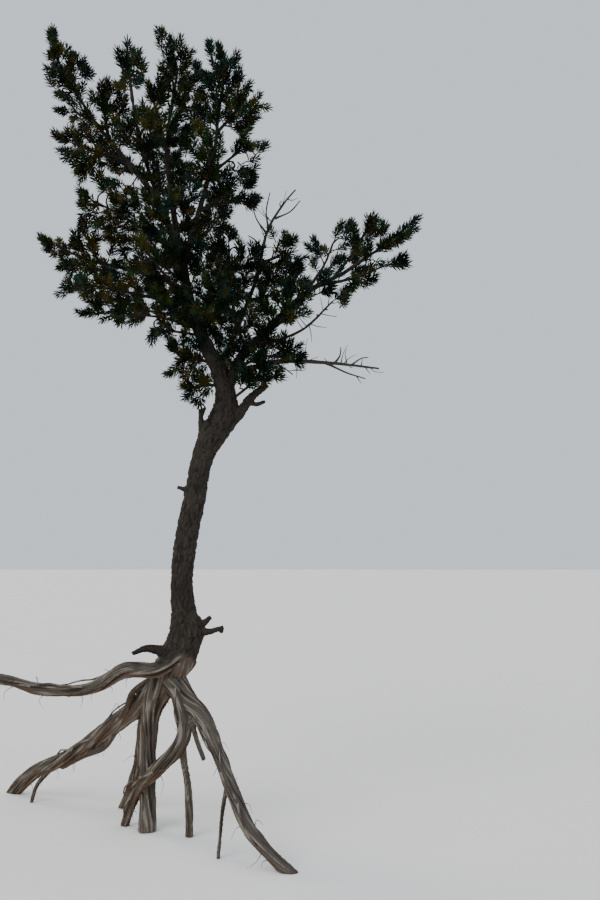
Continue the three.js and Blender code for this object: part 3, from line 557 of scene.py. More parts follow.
# A plume of size one: its length, its side shoots, how far it stands off its limb at least, the
# shares of that limb's heading and of the upward direction in its own, and how far its twig
# bends along the limb
PLUME_LENGTH = 0.21
PLUME_SIDES = 2
PLUME_STANDS_OFF = 0.15
PLUME_LEAN = (0.6, 0.35)
PLUME_BEND = 0.02

# The places on a limb where a plume may leave it, how many and from which share on, and what
# speaks against each: to come out in front of the plume, and to leave the limb backwards
PLUME_FEET = 12
PLUME_FROM = 0.25
FRONT_COST = 0.3
BACKWARD_COST = 0.09

# How much a broken stub is swelled, so that it keeps its width when the surface is fused, and how
# many times stouter a dead limb is made for the furrows that its relief takes away
STUB_SWELL = 0.004
DEAD_SWELL = 1.3

# How many times stouter the bark makes the stems and twigs of the foliage
BARK_SWELL = 1.3

# Dead twiglets along a limb: how many to a metre, from which share of it to which, their length,
# splay and radius, how far they bow, and how much they curl towards its end
TWIGLETS = {"dead_bough": 6, "dead_snag": 6, "bough_east": 11, "bough_crest": 5}
TWIGLET_PART = (0.25, 0.97)
TWIGLET_LENGTH = (0.05, 0.16)
TWIGLET_SPLAY = (38, 74)
TWIGLET_RADIUS = (0.0046, 0.0022)
TWIGLET_BOW = 0.12
TWIGLET_CURL = 0.35

# Thin strands that part from the skin of a bared root and join it again: how many to a metre,
# from which share of it to which, their length and radius, how many points each has, how far it
# stands off and wavers, how deep its ends are sunk in radii of the root, the side that it lies on
# rather, how far it winds, and how far above the ground it stays
STRANDS = 3.4
STRAND_PART = (0.08, 0.95)
STRAND_LENGTH = (0.2, 0.46)
STRAND_RADIUS = (0.0085, 0.0065)
STRAND_POINTS = 7
STRAND_RISE = (0.004, 0.026)
STRAND_WAVER = 0.003
STRAND_SUNK = 0.8
STRAND_SIDE = (0, -0.4, 0.8)
STRAND_WIND = 0.5
STRAND_CLEAR = 0.03

# Fine rootlets that hang from a bared root: how many to a metre, from which share of it to which,
# their length and radius, how deep they are sunk, the side that they leave on rather, how far
# they lean along the root, how they go on downwards and how far they stray, the shares of length
# in their two halves, and how far above the ground they stay
ROOTLETS = 8
ROOTLET_PART = (0.06, 0.95)
ROOTLET_LENGTH = (0.04, 0.15)
ROOTLET_RADIUS = (0.0028, 0.0012)
ROOTLET_SUNK = 0.85
ROOTLET_SIDE = (0, 0, -0.8)
ROOTLET_LEAN = 0.7
ROOTLET_ONWARD = 0.5
ROOTLET_HANG = (0, 0, -0.7)
ROOTLET_STRAY = 0.4
ROOTLET_HALVES = (0.5, 0.6)
ROOTLET_CLEAR = 0.01

# How bundles of needles leave a shoot: the fewest of them, their splay at its foot and at its end
# and how late it changes, how much splay and turn vary, and how much shorter the last ones are.
# Angles are in degrees, but the jitter of the turn is in radians.
LEAST_BUNDLES = 12
FOOT_SPLAY = 60
END_SPLAY = 35
SPLAY_POWER = 2.2
SPLAY_JITTER = 9
TURN_JITTER = 0.3
BUNDLE_RANGE = (0.82, 1.1)
LAST_BUNDLE = 0.86

# A needle: how many stand in a bundle, how far they part, sideways more, and how their length
# varies, how much the outer part bends forward, where a needle is widest, and how far it rolls
BUNDLE = 5
BUNDLE_PARTING = 4
SIDEWAYS_PARTING = 1.6
NEEDLE_RANGE = (0.9, 1.06)
NEEDLE_BEND = 9
WIDEST = 0.36
NEEDLE_ROLL = 40

# The tones of needles, and how they are dealt out by spray: the span of each direction or height
# over which a side counts, and how much warmth there is at least, in needles that point west, on
# the western side, which is less of it high up, and inside the crown. The warmth in needles that
# point west and on the western side is painted low sunlight that falls from the west.
TONES = ("deep", "green", "teal", "olive", "amber")
OUTWARD_SPAN = (-0.1, 0.7)
WEST_SPAN = (-0.3, 0.8)
HIGH_SPAN = (5.2, 6.2)
EAST_SPAN = (0.6, 1.4)
WARM_LEAST = 0.06
SUNLIGHT_OUTWARD = 0.22
SUNLIGHT_WEST = 0.46
SUNLIGHT_LOST_HIGH = 0.7
WARM_INSIDE = 0.08

# The chances of the deep, green and teal tones further out on a needle, what the painted
# reflection of the sky, high up and in the east, adds to each and how much of them warmth turns to
# olive, and the chances of amber and of olive at its foot, the least and what warmth adds
COOL_TONES = (0.4, 0.34, 0.26)
SKY_REFLECTION_ADDS = (0, -0.08, 0.08)
WARM_TO_OLIVE = 0.6
FOOT_AMBER = (0.2, 0.5)
FOOT_OLIVE = (0.15, 0.25)

# The grain of wood and of needles: how fine it is, how much it is drawn out along the limb, how
# rich its streaks and flecks are, and how many times finer the flecks
WOOD_GRAIN = {"Scale": 26.0, "Stretch": 0.3}
WOOD_PATCHES = {"Scale": 4.5, "Stretch": 0.6}
TWIG_GRAIN = {"Scale": 45.0, "Stretch": 1.0}
NEEDLE_GRAIN = {"Scale": 9.0, "Stretch": 1.0}
FLOOR_GRAIN = {"Scale": 0.6, "Stretch": 1.0}
STREAK_DETAIL = {"Detail": 5.0, "Roughness": 0.62}
FLECK_DETAIL = {"Detail": 3.0}
FLECKS_FINER = 4.3

# Painted shade, painted light and wear: how much the streaks add to the relief, and from which
# value to which a crack, darkened as painted shade, a worn crest, and an underside, warmed as
# painted light, show
STREAKS_IN_RELIEF = 0.5
CRACK_SHADE_SPAN = (0.62, 0.3)
CREST_SPAN = (0.82, 1.18)
LIT_UNDER_SPAN = (0.15, -0.65)

# How strongly each shows in the colours, the crack's painted shade and the underside's painted
# warm light among them, and the spans of brown and of grey patches in bark
BARK_CREST = 0.45
ROOT_UNDER_LIGHT = 0.6
ROOT_CREST = 0.7
CRACK_SHADE = 0.8
BROWN_SPAN = (0.1, 1.0)
PATCH_SPAN = (-0.35, 0.75)

# Surfaces: roughness and specular, the span of roughness over the flecks, and the strength and
# depth of the bumps that the flecks make
WOOD_SURFACE = (0.9, 0.2)
WOOD_ROUGHNESS = (0.78, 0.98)
WOOD_BUMPS = (0.6, 0.004)
TWIG_SURFACE = (0.85, 0.25)
TWIG_BUMP_DEPTH = (0.4, 0.002)
NEEDLE_SURFACE = (0.5, 0.12)
NEEDLE_ROUGHNESS = (0.4, 0.62)

# How many times darker or lighter the streaks of a twig, a needle and the floor are
TWIG_DARK = 0.35
NEEDLE_DARK = 0.5
NEEDLE_LIGHT = 1.6
FLOOR_LIGHT = 1.06

# The camera stands where the photograph's did: its place, how far it looks up in degrees, and the
# width of its sensor in millimetres
CAMERA_PLACE = (1.168, -7.0, 2.0)
CAMERA_PITCH = 7.55
SENSOR = 36.0

# The floor: its radius, so wide that its edge lies on the horizon, how many sides it has, and how
# far it lies below the roots, which it would flicker with
FLOOR = 500
FLOOR_SIDES = 96
FLOOR_DROP = 0.003

# The lights: the side that each comes from, its width in degrees and its colour, the strength of
# the fill as a share of the key, and how far off their lamps are drawn
LIGHTS = {
    "key": ((-0.6, -0.8, 0.75), 40, (1.0, 0.97, 0.93)),
    "fill": ((0.8, -0.6, 0.5), 60, (0.92, 0.96, 1.0)),
    "rim": ((-0.85, 0.6, 0.4), 25, (1.0, 0.82, 0.6)),
}
FILL_SHARE = 0.3
LAMP_DISTANCE = 12

# What every colour that a user may change has
COLOUR = {"size": 4, "min": 0, "max": 1, "subtype": "COLOR"}


class PineWood(bpy.types.PropertyGroup):
    """Relief and colours of bark, bared roots and dead wood."""

    voxel: FloatProperty(
        name="Surface Step", description="Edge length of the fused surface of trunk and roots",
        default=0.0085, min=0.004, max=0.03, precision=4, unit="LENGTH")
    plate_size: FloatProperty(
        name="Plate Width", description="Width of a plate of bark on the trunk",
        default=0.034, min=0.01, max=0.2, precision=3, unit="LENGTH")
    plate_depth: FloatProperty(
        name="Plate Depth", description="Depth of the cracks between plates of bark",
        default=0.013, min=0.0, max=0.05, precision=3, unit="LENGTH")
    grain_depth: FloatProperty(
        name="Grain Depth", description="Depth of the furrows in bared and dead wood",
        default=0.009, min=0.0, max=0.05, precision=3, unit="LENGTH")
    bark_line: FloatProperty(
        name="Bark Line", description="Height at which the bark ends and the bared roots begin",
        default=1.27, min=0.0, max=3.0, precision=2, unit="LENGTH")
    # Also the painted shade that darkens the cracks of bark and the furrows of bared wood
    bark_dark: FloatVectorProperty(
        name="Bark Cracks", description="Colour deep in the bark",
        default=(0.008, 0.0065, 0.005, 1), **COLOUR)
    bark_brown: FloatVectorProperty(
        name="Bark", description="Colour of the plates of bark",
        default=(0.025, 0.0192, 0.0143, 1), **COLOUR)
    bark_grey: FloatVectorProperty(
        name="Bark Crests", description="Weathered grey on the crests of the bark",
        default=(0.052, 0.0445, 0.037, 1), **COLOUR)
    root_brown: FloatVectorProperty(
        name="Root Grain", description="Brown in the grain of the bared roots",
        default=(0.034, 0.026, 0.02, 1), **COLOUR)
    root_grey: FloatVectorProperty(
        name="Root", description="Silver grey of the bared roots",
        default=(0.088, 0.076, 0.064, 1), **COLOUR)
    root_pale: FloatVectorProperty(
        name="Root Edges", description="Bleached ridges of the bared roots",
        default=(0.21, 0.192, 0.166, 1), **COLOUR)
    # Painted warm light: the orange brown of the low sun, laid on the downward-facing sides of the bared
    # roots
    root_sunlit_orange: FloatVectorProperty(
        name="Root Underside", description="Orange brown where a root is not bleached",
        default=(0.11, 0.054, 0.024, 1), **COLOUR)
    dead_brown: FloatVectorProperty(
        name="Dead Grain", description="Dark grain of the dead limbs",
        default=(0.022, 0.018, 0.015, 1), **COLOUR)
    dead_grey: FloatVectorProperty(
        name="Dead Wood", description="Dry grey of the dead limbs",
        default=(0.075, 0.067, 0.058, 1), **COLOUR)


class PineFoliage(bpy.types.PropertyGroup):
    """Size and colours of twigs and needles."""

    needle_length: FloatProperty(
        name="Needle Length", description="Length of a needle",
        default=0.07, min=0.01, max=0.2, precision=3, unit="LENGTH")
    needle_width: FloatProperty(
        name="Needle Width", description="Width of a needle, wider than life to stand for its bundle",
        default=0.008, min=0.0005, max=0.02, precision=4, unit="LENGTH")
    bundle_gap: FloatProperty(
        name="Bundle Spacing", description="Spacing of the bundles of needles along a shoot",
        default=0.0027, min=0.0005, max=0.02, precision=4, unit="LENGTH")
    twig_brown: FloatVectorProperty(
        name="Twigs", description="Colour of the living twigs",
        default=(0.026, 0.019, 0.014, 1), **COLOUR)
    deep: FloatVectorProperty(
        name="Deep Green", description="Needles inside the crown",
        default=(0.005, 0.012, 0.004, 1), **COLOUR)
    green: FloatVectorProperty(
        name="Green", description="Needles of this year",
        default=(0.012, 0.03, 0.006, 1), **COLOUR)
    # The waxy blue green of the needles, dealt more often high up and in the east as painted reflection of
    # the sky
    teal: FloatVectorProperty(
        name="Blue Green", description="Needles that show their waxy sides",
        default=(0.007, 0.027, 0.018, 1), **COLOUR)
    # Partly painted low sunlight: olive is dealt more often on the western side and to needles that point
    # west
    olive: FloatVectorProperty(
        name="Olive", description="Needles turned to the low sun",
        default=(0.045, 0.043, 0.007, 1), **COLOUR)
    # The sheathed feet's own brown, dealt more often on the western side as painted low sunlight
    amber: FloatVectorProperty(
        name="Amber", description="Sheathed feet of the needles",
        default=(0.1, 0.054, 0.012, 1), **COLOUR)


class PineStage(bpy.types.PropertyGroup):
    """The floor, the lights and the camera."""

    floor_tone: FloatVectorProperty(
        name="Floor", description="Colour of the plain floor",
        default=(0.74, 0.74, 0.73, 1), **COLOUR)
    sky_tone: FloatVectorProperty(
        name="Surround", description="Colour of the plain surround",
        default=(0.78, 0.84, 0.91, 1), **COLOUR)
    surround: FloatProperty(
        name="Surround Strength", description="Strength of the surround's light",
        default=1.0, min=0.0, max=5.0)
    key: FloatProperty(
        name="Key Light", description="Strength of the large soft light",
        default=1.7, min=0.0, max=20.0)
    rim: FloatProperty(
        name="Rim Light", description="Strength of the warm light from behind",
        default=1.6, min=0.0, max=20.0)
    lens: FloatProperty(
        name="Focal Length", description="Focal length in millimetres on a 36 mm sensor",
        default=35.0, min=10.0, max=200.0)


def unit(vectors):
    """Vectors made one long."""
    vectors = np.asarray(vectors, float)
    return vectors / np.linalg.norm(vectors, axis=-1, keepdims=True)


def lerp(low, high, share):
    return low + (high - low) * share


def clamped(value):
    return min(max(value, 0.0), 1.0)


def smooth_step(low, high, value):
    share = clamped((value - low) / (high - low))
    return share * share * (3 - 2 * share)


def weighed(weights, parts):
    return sum(weight * part for weight, part in zip(weights, parts))


def crosswise(axis):
    """An upright or level direction that isn't near an axis."""
    return (0, 0, 1) if abs(axis[1]) > NEAR_AXIS else (0, 1, 0)


class Line:
    """A smooth line through points, the centripetal curve that the frame's solids follow. It is
    measured in so many steps, and its heading over a nudge to both sides."""

    MARKS = 200
    NUDGE = 1e-4

    def __init__(self, points):
        points = np.array(points, float)
        before, after = 2 * points[0] - points[1], 2 * points[-1] - points[-2]
        self.knots = np.vstack([before, points, after])
        self.marks = np.linspace(0, 1, self.MARKS + 1)
        steps = np.linalg.norm(np.diff(self.at(self.marks), axis=0), axis=1)
        self.lengths = np.concatenate([[0], np.cumsum(steps)])
        self.length = self.lengths[-1]

    def at(self, mark):
        """Points at marks from 0 to 1, which are even from knot to knot."""
        place = np.clip(np.atleast_1d(mark), 0, 1) * (len(self.knots) - 3)
        first = np.minimum(place.astype(int), len(self.knots) - 4)
        way = (place - first)[:, None]
        a, b, c, d = (self.knots[first + k] for k in range(4))
        ab, bc, cd = (((q - p) ** 2).sum(1, keepdims=True) ** 0.25 for p, q in ((a, b), (b, c), (c, d)))
        leaving = ((b - a) / ab - (c - a) / (ab + bc) + (c - b) / bc) * bc
        arriving = ((c - b) / bc - (d - b) / (bc + cd) + (d - c) / cd) * bc
        square = 3 * (c - b) - 2 * leaving - arriving
        cube = 2 * (b - c) + leaving + arriving
        return b + leaving * way + square * way**2 + cube * way**3

    def mark(self, share):
        return np.interp(np.asarray(share, float) * self.length, self.lengths, self.marks)

    def places(self, shares):
        """Points at shares of the line's length."""
        return self.at(self.mark(shares))

    def place(self, share):
        return self.places([share])[0]

    def heading(self, share):
        """The direction of the line at a share of its length."""
        mark = float(self.mark(share))
        ahead, back = self.at(min(mark + self.NUDGE, 1.0)), self.at(max(mark - self.NUDGE, 0.0))
        return unit(ahead - back)[0]


def tapered(radius):
    """A radius at each share of a limb's length, from its radius at foot and end."""
    return lambda shares: lerp(radius[0], radius[1], np.asarray(shares, float) ** TAPER)


def trunk_radius(line):
    """The trunk's radius at each share of its length, from its rows."""
    marks = np.linspace(0, 1, len(TRUNK))
    at = np.interp(marks, line.marks, line.lengths) / line.length
    return lambda shares: np.interp(shares, at, [row[3] for row in TRUNK])


TRUNK_LINE = Line([row[:3] for row in TRUNK])
LIMB_LINES = {"trunk": TRUNK_LINE}
LIMB_LINES.update({name: Line(form.line) for name, form in (ROOTS | BOUGHS | DEAD_LIMBS).items()})


def sides_along(points):
    """The heading and two side directions at each point of a line, turned as little as can be."""
    headings = unit(np.gradient(points, axis=0))
    side = np.cross(headings[0], crosswise(headings[0]))
    across = []
    for heading in headings:
        side = unit(side - heading * side.dot(heading))
        across.append(side)
    across = np.array(across)
    return headings, across, np.cross(headings, across)


def sweep(line, radius_at, step, corners, broken=False):
    """A closed tube along a line. Each of its points also has its place on the limb, the radius
    there and the way out."""
    count = max(3, round(line.length / step) + 1)
    shares = np.linspace(0, 1, count)
    centres, radii = line.places(shares), radius_at(shares)
    headings, across, over = sides_along(centres)
    turns = np.arange(corners) * 2 * math.pi / corners
    ring = np.stack([np.cos(turns), np.sin(turns)], axis=1)
    out = ring[None, :, :1] * across[:, None] + ring[None, :, 1:] * over[:, None]
    points = centres[:, None] + out * radii[:, None, None]
    if broken:
        spots = [Vector((*turn, line.length)) * SPLINTER_SCALE for turn in ring]
        splinters = np.array([abs(noise.noise(spot)) for spot in spots])
        points[-1] += headings[-1] * (radii[-1] * (SPLINTER_LEAST + SPLINTER_RANGE * splinters))[:, None]
    along = np.broadcast_to((shares * line.length)[:, None], (count, corners))
    place = np.stack([ring[None, :, 0] * radii[:, None], ring[None, :, 1] * radii[:, None], along], axis=2)
    i, k = np.meshgrid(np.arange(count - 1), np.arange(corners), indexing="ij")
    here, beside = i * corners + k, i * corners + (k + 1) % corners
    quads = np.stack([here, beside, beside + corners, here + corners], axis=2).reshape(-1, 4)
    foot, end = count * corners, count * corners + 1
    rim = np.arange(corners)
    ahead = (rim + 1) % corners
    last = (count - 1) * corners
    faces = [
        quads[:, [0, 1, 2]], quads[:, [0, 2, 3]],
        np.stack([np.full(corners, foot), ahead, rim], axis=1),
        np.stack([np.full(corners, end), last + rim, last + ahead], axis=1)]
    return SimpleNamespace(
        points=np.vstack([points.reshape(-1, 3), centres[:1], centres[-1:]]),
        faces=np.vstack(faces),
        place=np.vstack([place.reshape(-1, 3), [[0, 0, 0], [0, 0, line.length]]]),
        radius=np.concatenate([np.repeat(radii, corners), radii[:1], radii[-1:]]),
        out=np.vstack([out.reshape(-1, 3), -headings[:1], headings[-1:]]))


def together(tubes):
    """Several swept tubes as one."""
    starts = np.cumsum([0] + [len(tube.points) for tube in tubes[:-1]])
    joined = {key: np.concatenate([getattr(tube, key) for tube in tubes])
              for key in ("points", "place", "radius", "out")}
    faces = np.vstack([tube.faces + start for tube, start in zip(tubes, starts)])
    return SimpleNamespace(faces=faces, **joined)


def mesh_of(name, points, faces):
    """A mesh from an array of points and one of triangles."""
    mesh = bpy.data.meshes.new(name)
    mesh.vertices.add(len(points))
    mesh.vertices.foreach_set("co", np.asarray(points, np.float32).ravel())
    mesh.loops.add(faces.size)
    mesh.loops.foreach_set("vertex_index", np.asarray(faces, np.int32).ravel())
    mesh.polygons.add(len(faces))
    mesh.polygons.foreach_set("loop_start", np.arange(len(faces), dtype=np.int32) * faces.shape[1])
    mesh.update(calc_edges=True)
    return mesh


def shown(name, mesh, material, nodes, smooth=True):
    """A piece of the tree that rides on its body and stands for nodes of the frame."""
    mesh.polygons.foreach_set("use_smooth", np.full(len(mesh.polygons), smooth))
    mesh.materials.clear()
    mesh.materials.append(material)
    mesh.update()
    piece = bpy.data.objects.new(name, mesh)
    bpy.context.scene.collection.objects.link(piece)
    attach(piece, "root")
    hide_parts(*nodes)


def vertex_values(mesh, field):
    """The places or the normals of a mesh's points, as an array."""
    values = np.zeros(len(mesh.vertices) * 3, np.float32)
    mesh.vertices.foreach_get(field, values)
    return values.reshape(-1, 3).astype(float)


def write_attribute(mesh, name, kind, field, values):
    attribute = mesh.attributes.new(name, kind, "POINT")
    attribute.data.foreach_set(field, np.asarray(values, np.float32).ravel())


def wander(spot, scale, strength):
    return noise.noise_vector(spot * scale) * strength


def bark_relief(place, radius, wood):
    """Height of plated bark at a place on a limb, and its share from crack to crest."""
    size = min(wood.plate_size, radius * WIDEST_PLATE)
    spot = Vector((place[0], place[1], place[2] * PLATE_DRAW)) / size
    spot += wander(spot, *BROAD_WANDER) + wander(spot, *FINE_WANDER)
    near = noise.voronoi(spot)[0]
    plate = smooth_step(0, CRACK_WIDTH, near[1] - near[0])
    parts = (1, plate, noise.noise(spot * CRUMB_SCALE), noise.noise(spot * LUMP_SCALE))
    depth = min(wood.plate_depth, radius * DEEPEST_BARK)
    return depth * weighed(BARK_HEIGHT, parts), clamped(weighed(BARK_SHARE, parts))


def grain_at(x, y, along, scale, shift=0):
    round_it, along_it = scale
    return noise.noise(Vector((x * round_it, y * round_it, along * along_it + shift)))


def grain_relief(place, radius, wood):
    """Height of weathered grain that winds along a limb, and its share from furrow to ridge."""
    along = place[2]
    turn = along * GRAIN_WIND
    x = place[0] * math.cos(turn) - place[1] * math.sin(turn)
    y = place[0] * math.sin(turn) + place[1] * math.cos(turn)
    strand = grain_at(x / radius, y / radius, along, RIDGE_SCALE)
    ridge = 1 - min(abs(strand) * RIDGE_NARROWNESS, 1)
    parts = (1, ridge, grain_at(x / radius, y / radius, along, FINE_SCALE, FINE_SHIFT))
    lump = grain_at(x, y, along, GRAIN_LUMP_SCALE)
    depth = min(wood.grain_depth, radius * DEEPEST_GRAIN)
    height = depth * weighed(GRAIN_HEIGHT, parts) + radius * GRAIN_LUMP * lump
    return height, clamped(weighed(GRAIN_SHARE, parts))


def relieved(points, out, place, radius, bared, wood):
    """Points moved out by the relief of bark, or of grain where the wood is bared, with its share
    from low to high. The cracks wander by vectors of noise, which change with the clock unless
    they are seeded."""
    noise.seed_set(FIRST_SEED)
    heights, shares = np.zeros(len(points)), np.zeros(len(points))
    for i in range(len(points)):
        height = share = 0.0
        if bared[i] < 1:
            height, share = bark_relief(place[i], radius[i], wood)
        if bared[i] > 0:
            grain, ridge = grain_relief(place[i], radius[i], wood)
            height, share = lerp(height, grain, bared[i]), lerp(share, ridge, bared[i])
        heights[i], shares[i] = height, share
    return points + out * heights[:, None], shares


def with_relief(mesh, out, place, radius, bared, wood):
    """Gives a mesh its relief, and the attributes that its material reads."""
    moved, shares = relieved(vertex_values(mesh, "co"), out, place, radius, bared, wood)
    mesh.vertices.foreach_set("co", moved.astype(np.float32).ravel())
    write_attribute(mesh, "limb_place", "FLOAT_VECTOR", "vector", place)
    write_attribute(mesh, "relief", "FLOAT", "value", shares)
    write_attribute(mesh, "bared", "FLOAT", "value", bared)
    mesh.update()


def fused_surface(tubes, voxel):
    """One smooth closed surface over tubes that run into each other."""
    source = bpy.data.objects.new("fused", mesh_of("fused", tubes.points, tubes.faces))
    bpy.context.scene.collection.objects.link(source)
    remesh = source.modifiers.new("Fuse", "REMESH")
    remesh.mode = "VOXEL"
    remesh.voxel_size = voxel
    ease = source.modifiers.new("Ease", "SMOOTH")
    ease.factor = EASE
    ease.iterations = EASE_ROUNDS
    bpy.context.view_layer.update()
    mesh = bpy.data.meshes.new_from_object(source.evaluated_get(bpy.context.evaluated_depsgraph_get()))
    bpy.data.objects.remove(source)
    return mesh


def places_on_limbs(points, limbs):
    """For each point of a fused surface: its place on the limb whose bark is nearest, and the
    radius there."""
    least = np.full(len(points), np.inf)
    place, radius = np.zeros((len(points), 3)), np.zeros(len(points))
    for index, (line, radius_at) in enumerate(limbs):
        shares = np.linspace(0, 1, max(3, round(line.length / LIMB_STEP)))
        centres, radii = line.places(shares), radius_at(shares)
        _, across, over = sides_along(centres)
        low, high = centres.min(0) - LIMB_MARGIN, centres.max(0) + LIMB_MARGIN
        close = np.nonzero(((points > low) & (points < high)).all(1))[0]
        tree = KDTree(len(centres))
        for i, centre in enumerate(centres):
            tree.insert(centre, i)
        tree.balance()
        nearest = np.array([tree.find(point)[1] for point in points[close]], int)
        offset = points[close] - centres[nearest]
        gap = np.abs(np.linalg.norm(offset, axis=1) - radii[nearest])
        won = gap < least[close]
        chosen, on = close[won], nearest[won]
        least[chosen] = gap[won]
        sideways = [(offset[won] * sides[on]).sum(1) for sides in (across, over)]
        place[chosen] = np.stack([*sideways, shares[on] * line.length + index * LIMB_SHIFT], axis=1)
        radius[chosen] = radii[on]
    return place, radius


def cut_at(mesh, height, keep_above):
    """A copy of a mesh, closed with a flat cut at a height, with the side above or below kept."""
    kept = mesh.copy()
    work = bmesh.new()
    work.from_mesh(kept)
    cut = bmesh.ops.bisect_plane(
        work, geom=work.verts[:] + work.edges[:] + work.faces[:], plane_co=(0, 0, height),
        plane_no=(0, 0, 1), clear_inner=keep_above, clear_outer=not keep_above)
    rim = [item for item in cut["geom_cut"] if isinstance(item, bmesh.types.BMEdge)]
    bmesh.ops.holes_fill(work, edges=rim)
    bmesh.ops.triangulate(work, faces=work.faces[:])
    work.to_mesh(kept)
    work.free()
    return kept


def carried_on(upper, lower, bend):
    """The radius along a root that runs on into its foot at a share of the length of both."""
    return lambda shares: np.where(
        shares < bend, tapered(upper)(np.clip(shares / bend, 0, 1)),
        tapered(lower)(np.clip((shares - bend) / (1 - bend), 0, 1)))


def whole_roots():
    """The line of each root, on through its foot where it has one, and its radius along it."""
    whole = []
    for name, form in ROOTS.items():
        if name in FEET:
            foot = ROOTS[FEET[name]]
            line = Line([*form.line, *foot.line[1:]])
            bend = Line(form.line).length / line.length
            whole.append((line, carried_on(form.radius, foot.radius, bend)))
        elif name not in FEET.values():
            whole.append((Line(form.line), tapered(form.radius)))
    return whole


def spaced(count, part, random):
    """Shares of a limb that are evenly spaced in a part of it, each moved by chance."""
    for k in range(count):
        yield lerp(*part, (k + random.random()) / count)


def strands(line, radius_at, random):
    """Thin strands that part from a root, run beside it and join it again, by a seeded rule."""
    made = []
    count = round(STRANDS * line.length)
    way = np.linspace(0, 1, STRAND_POINTS)
    arch = np.sin(math.pi * way)
    for k in range(count):
        span = random.uniform(*STRAND_LENGTH) / line.length
        low, high = STRAND_PART
        shares = lerp(low, high - span, (k + random.random()) / count) + span * way
        centres, radii = line.places(shares), radius_at(shares)
        headings, _, _ = sides_along(centres)
        first = unit(random.normal(size=3) + STRAND_SIDE)
        last = unit(first + random.normal(size=3) * STRAND_WIND)
        out = lerp(first, last, way[:, None])
        out = unit(out - headings * (out * headings).sum(1, keepdims=True))
        rise = random.uniform(*STRAND_RISE) * arch
        rise += random.uniform(-STRAND_WAVER, STRAND_WAVER, STRAND_POINTS)
        points = centres + out * (radii * lerp(STRAND_SUNK, 1, arch) + rise)[:, None]
        if points[:, 2].min() > STRAND_CLEAR:
            made.append(limb(points, STRAND_RADIUS))
    return made


def rootlets(line, radius_at, random):
    """Fine rootlets that hang from a root, by a seeded rule."""
    made = []
    for share in spaced(round(ROOTLETS * line.length), ROOTLET_PART, random):
        heading = line.heading(share)
        out = unit(random.normal(size=3) + ROOTLET_SIDE)
        out = unit(out - heading * out.dot(heading))
        foot = line.place(share) + out * float(radius_at(share)) * ROOTLET_SUNK
        upper, lower = np.array(ROOTLET_HALVES) * random.uniform(*ROOTLET_LENGTH)
        lean = heading * random.uniform(-ROOTLET_LEAN, ROOTLET_LEAN)
        middle = foot + unit(out + lean) * upper
        stray = random.normal(size=3) * ROOTLET_STRAY
        end = middle + unit(out * ROOTLET_ONWARD + ROOTLET_HANG + stray) * lower
        if min(foot[2], middle[2], end[2]) > ROOTLET_CLEAR:
            made.append(limb([foot, middle, end], ROOTLET_RADIUS))
    return made


def bared_at(point, bark_line):
    """How far the wood is bared at a point: 0 in the bark, 1 on the roots."""
    wandering = EDGE_WANDER * noise.noise(Vector(point * EDGE_SCALE))
    return 1 - smooth_step(-BARK_EDGE, BARK_EDGE, point[2] - bark_line - wandering)


def build_trunk_and_roots(wood):
    """The trunk in its bark and the bared roots under it, fused where they meet."""
    limbs = [(TRUNK_LINE, trunk_radius(TRUNK_LINE))]
    tubes = [sweep(*limbs[0], *TRUNK_TUBE)]
    stub = DEAD_LIMBS["dead_stub"]
    for form in [*TRUNK_STUBS, *BOLE_SWELLINGS, stub, *stub.twigs]:
        limbs.append((Line(form.line), tapered([part + STUB_SWELL for part in form.radius])))
        tubes.append(sweep(*limbs[-1], *STUB_TUBE, broken=True))
    roots = whole_roots()
    side_roots = [twig for form in ROOTS.values() for twig in form.twigs] + BRACE_TOES
    for root in roots + [(Line(twig.line), tapered(twig.radius)) for twig in side_roots]:
        limbs.append(root)
        tubes.append(sweep(*root, *ROOT_TUBE))
    mesh = fused_surface(together(tubes), wood.voxel)
    points, normals = vertex_values(mesh, "co"), vertex_values(mesh, "normal")
    bared = np.array([bared_at(point, wood.bark_line) for point in points])
    with_relief(mesh, normals, *places_on_limbs(points, limbs), bared, wood)
    skin = weathered_material("pine_bark_and_root", wood)
    bole = cut_at(mesh, wood.bark_line, True)
    shown("bole", bole, skin, ["trunk", "dead_stub"])
    bared_roots = cut_at(cut_at(mesh, wood.bark_line, False), 0, True)
    shown("bared_roots", bared_roots, skin, list(ROOTS))
    random = np.random.default_rng(FIRST_SEED)
    fine = [form for root in roots for form in (*strands(*root, random), *rootlets(*root, random))]
    detailed_limb("root_strands", fine, skin, list(ROOTS), 1, wood, STRAND_FLARE)


def flared(radius, length, flare):
    """A tapering radius at each share of a limb's length, wider at its foot."""
    return lambda shares: tapered(radius)(shares) * (
        1 + flare * np.exp(-np.asarray(shares) * length / FLARE_LENGTH))


def detailed_limb(name, forms, material, nodes, bared, wood, flare):
    """A limb and its side twigs as one piece with the relief of its bark or dead wood."""
    tubes = []
    least, most = LIMB_CORNERS
    for form in forms:
        line = Line(form.line)
        corners = min(max(least, round(2 * math.pi * form.radius[0] / LIMB_DETAIL)), most)
        tubes.append(sweep(line, flared(form.radius, line.length, flare), LIMB_DETAIL, corners))
    tube = together(tubes)
    mesh = mesh_of(name, tube.points, tube.faces)
    with_relief(mesh, tube.out, tube.place, tube.radius, np.full(len(tube.points), float(bared)), wood)
    shown(name, mesh, material, nodes)


def build_boughs(wood):
    skin = weathered_material("pine_bough_bark", wood)
    for name, form in BOUGHS.items():
        detailed_limb(f"{name}_bark", [form, *form.twigs], skin, [name], 0, wood, BOUGH_FLARE)


def build_dead_limbs(wood):
    skin = weathered_material("pine_dead_wood", wood, dead=True)
    for name in ("dead_bough", "dead_snag"):
        form = DEAD_LIMBS[name]
        stout = [limb(part.line, [DEAD_SWELL * end for end in part.radius]) for part in (form, *form.twigs)]
        forms = [*stout, *twiglets(name)]
        detailed_limb(f"{name}_wood", forms, skin, [name], 1, wood, DEAD_FLARE)


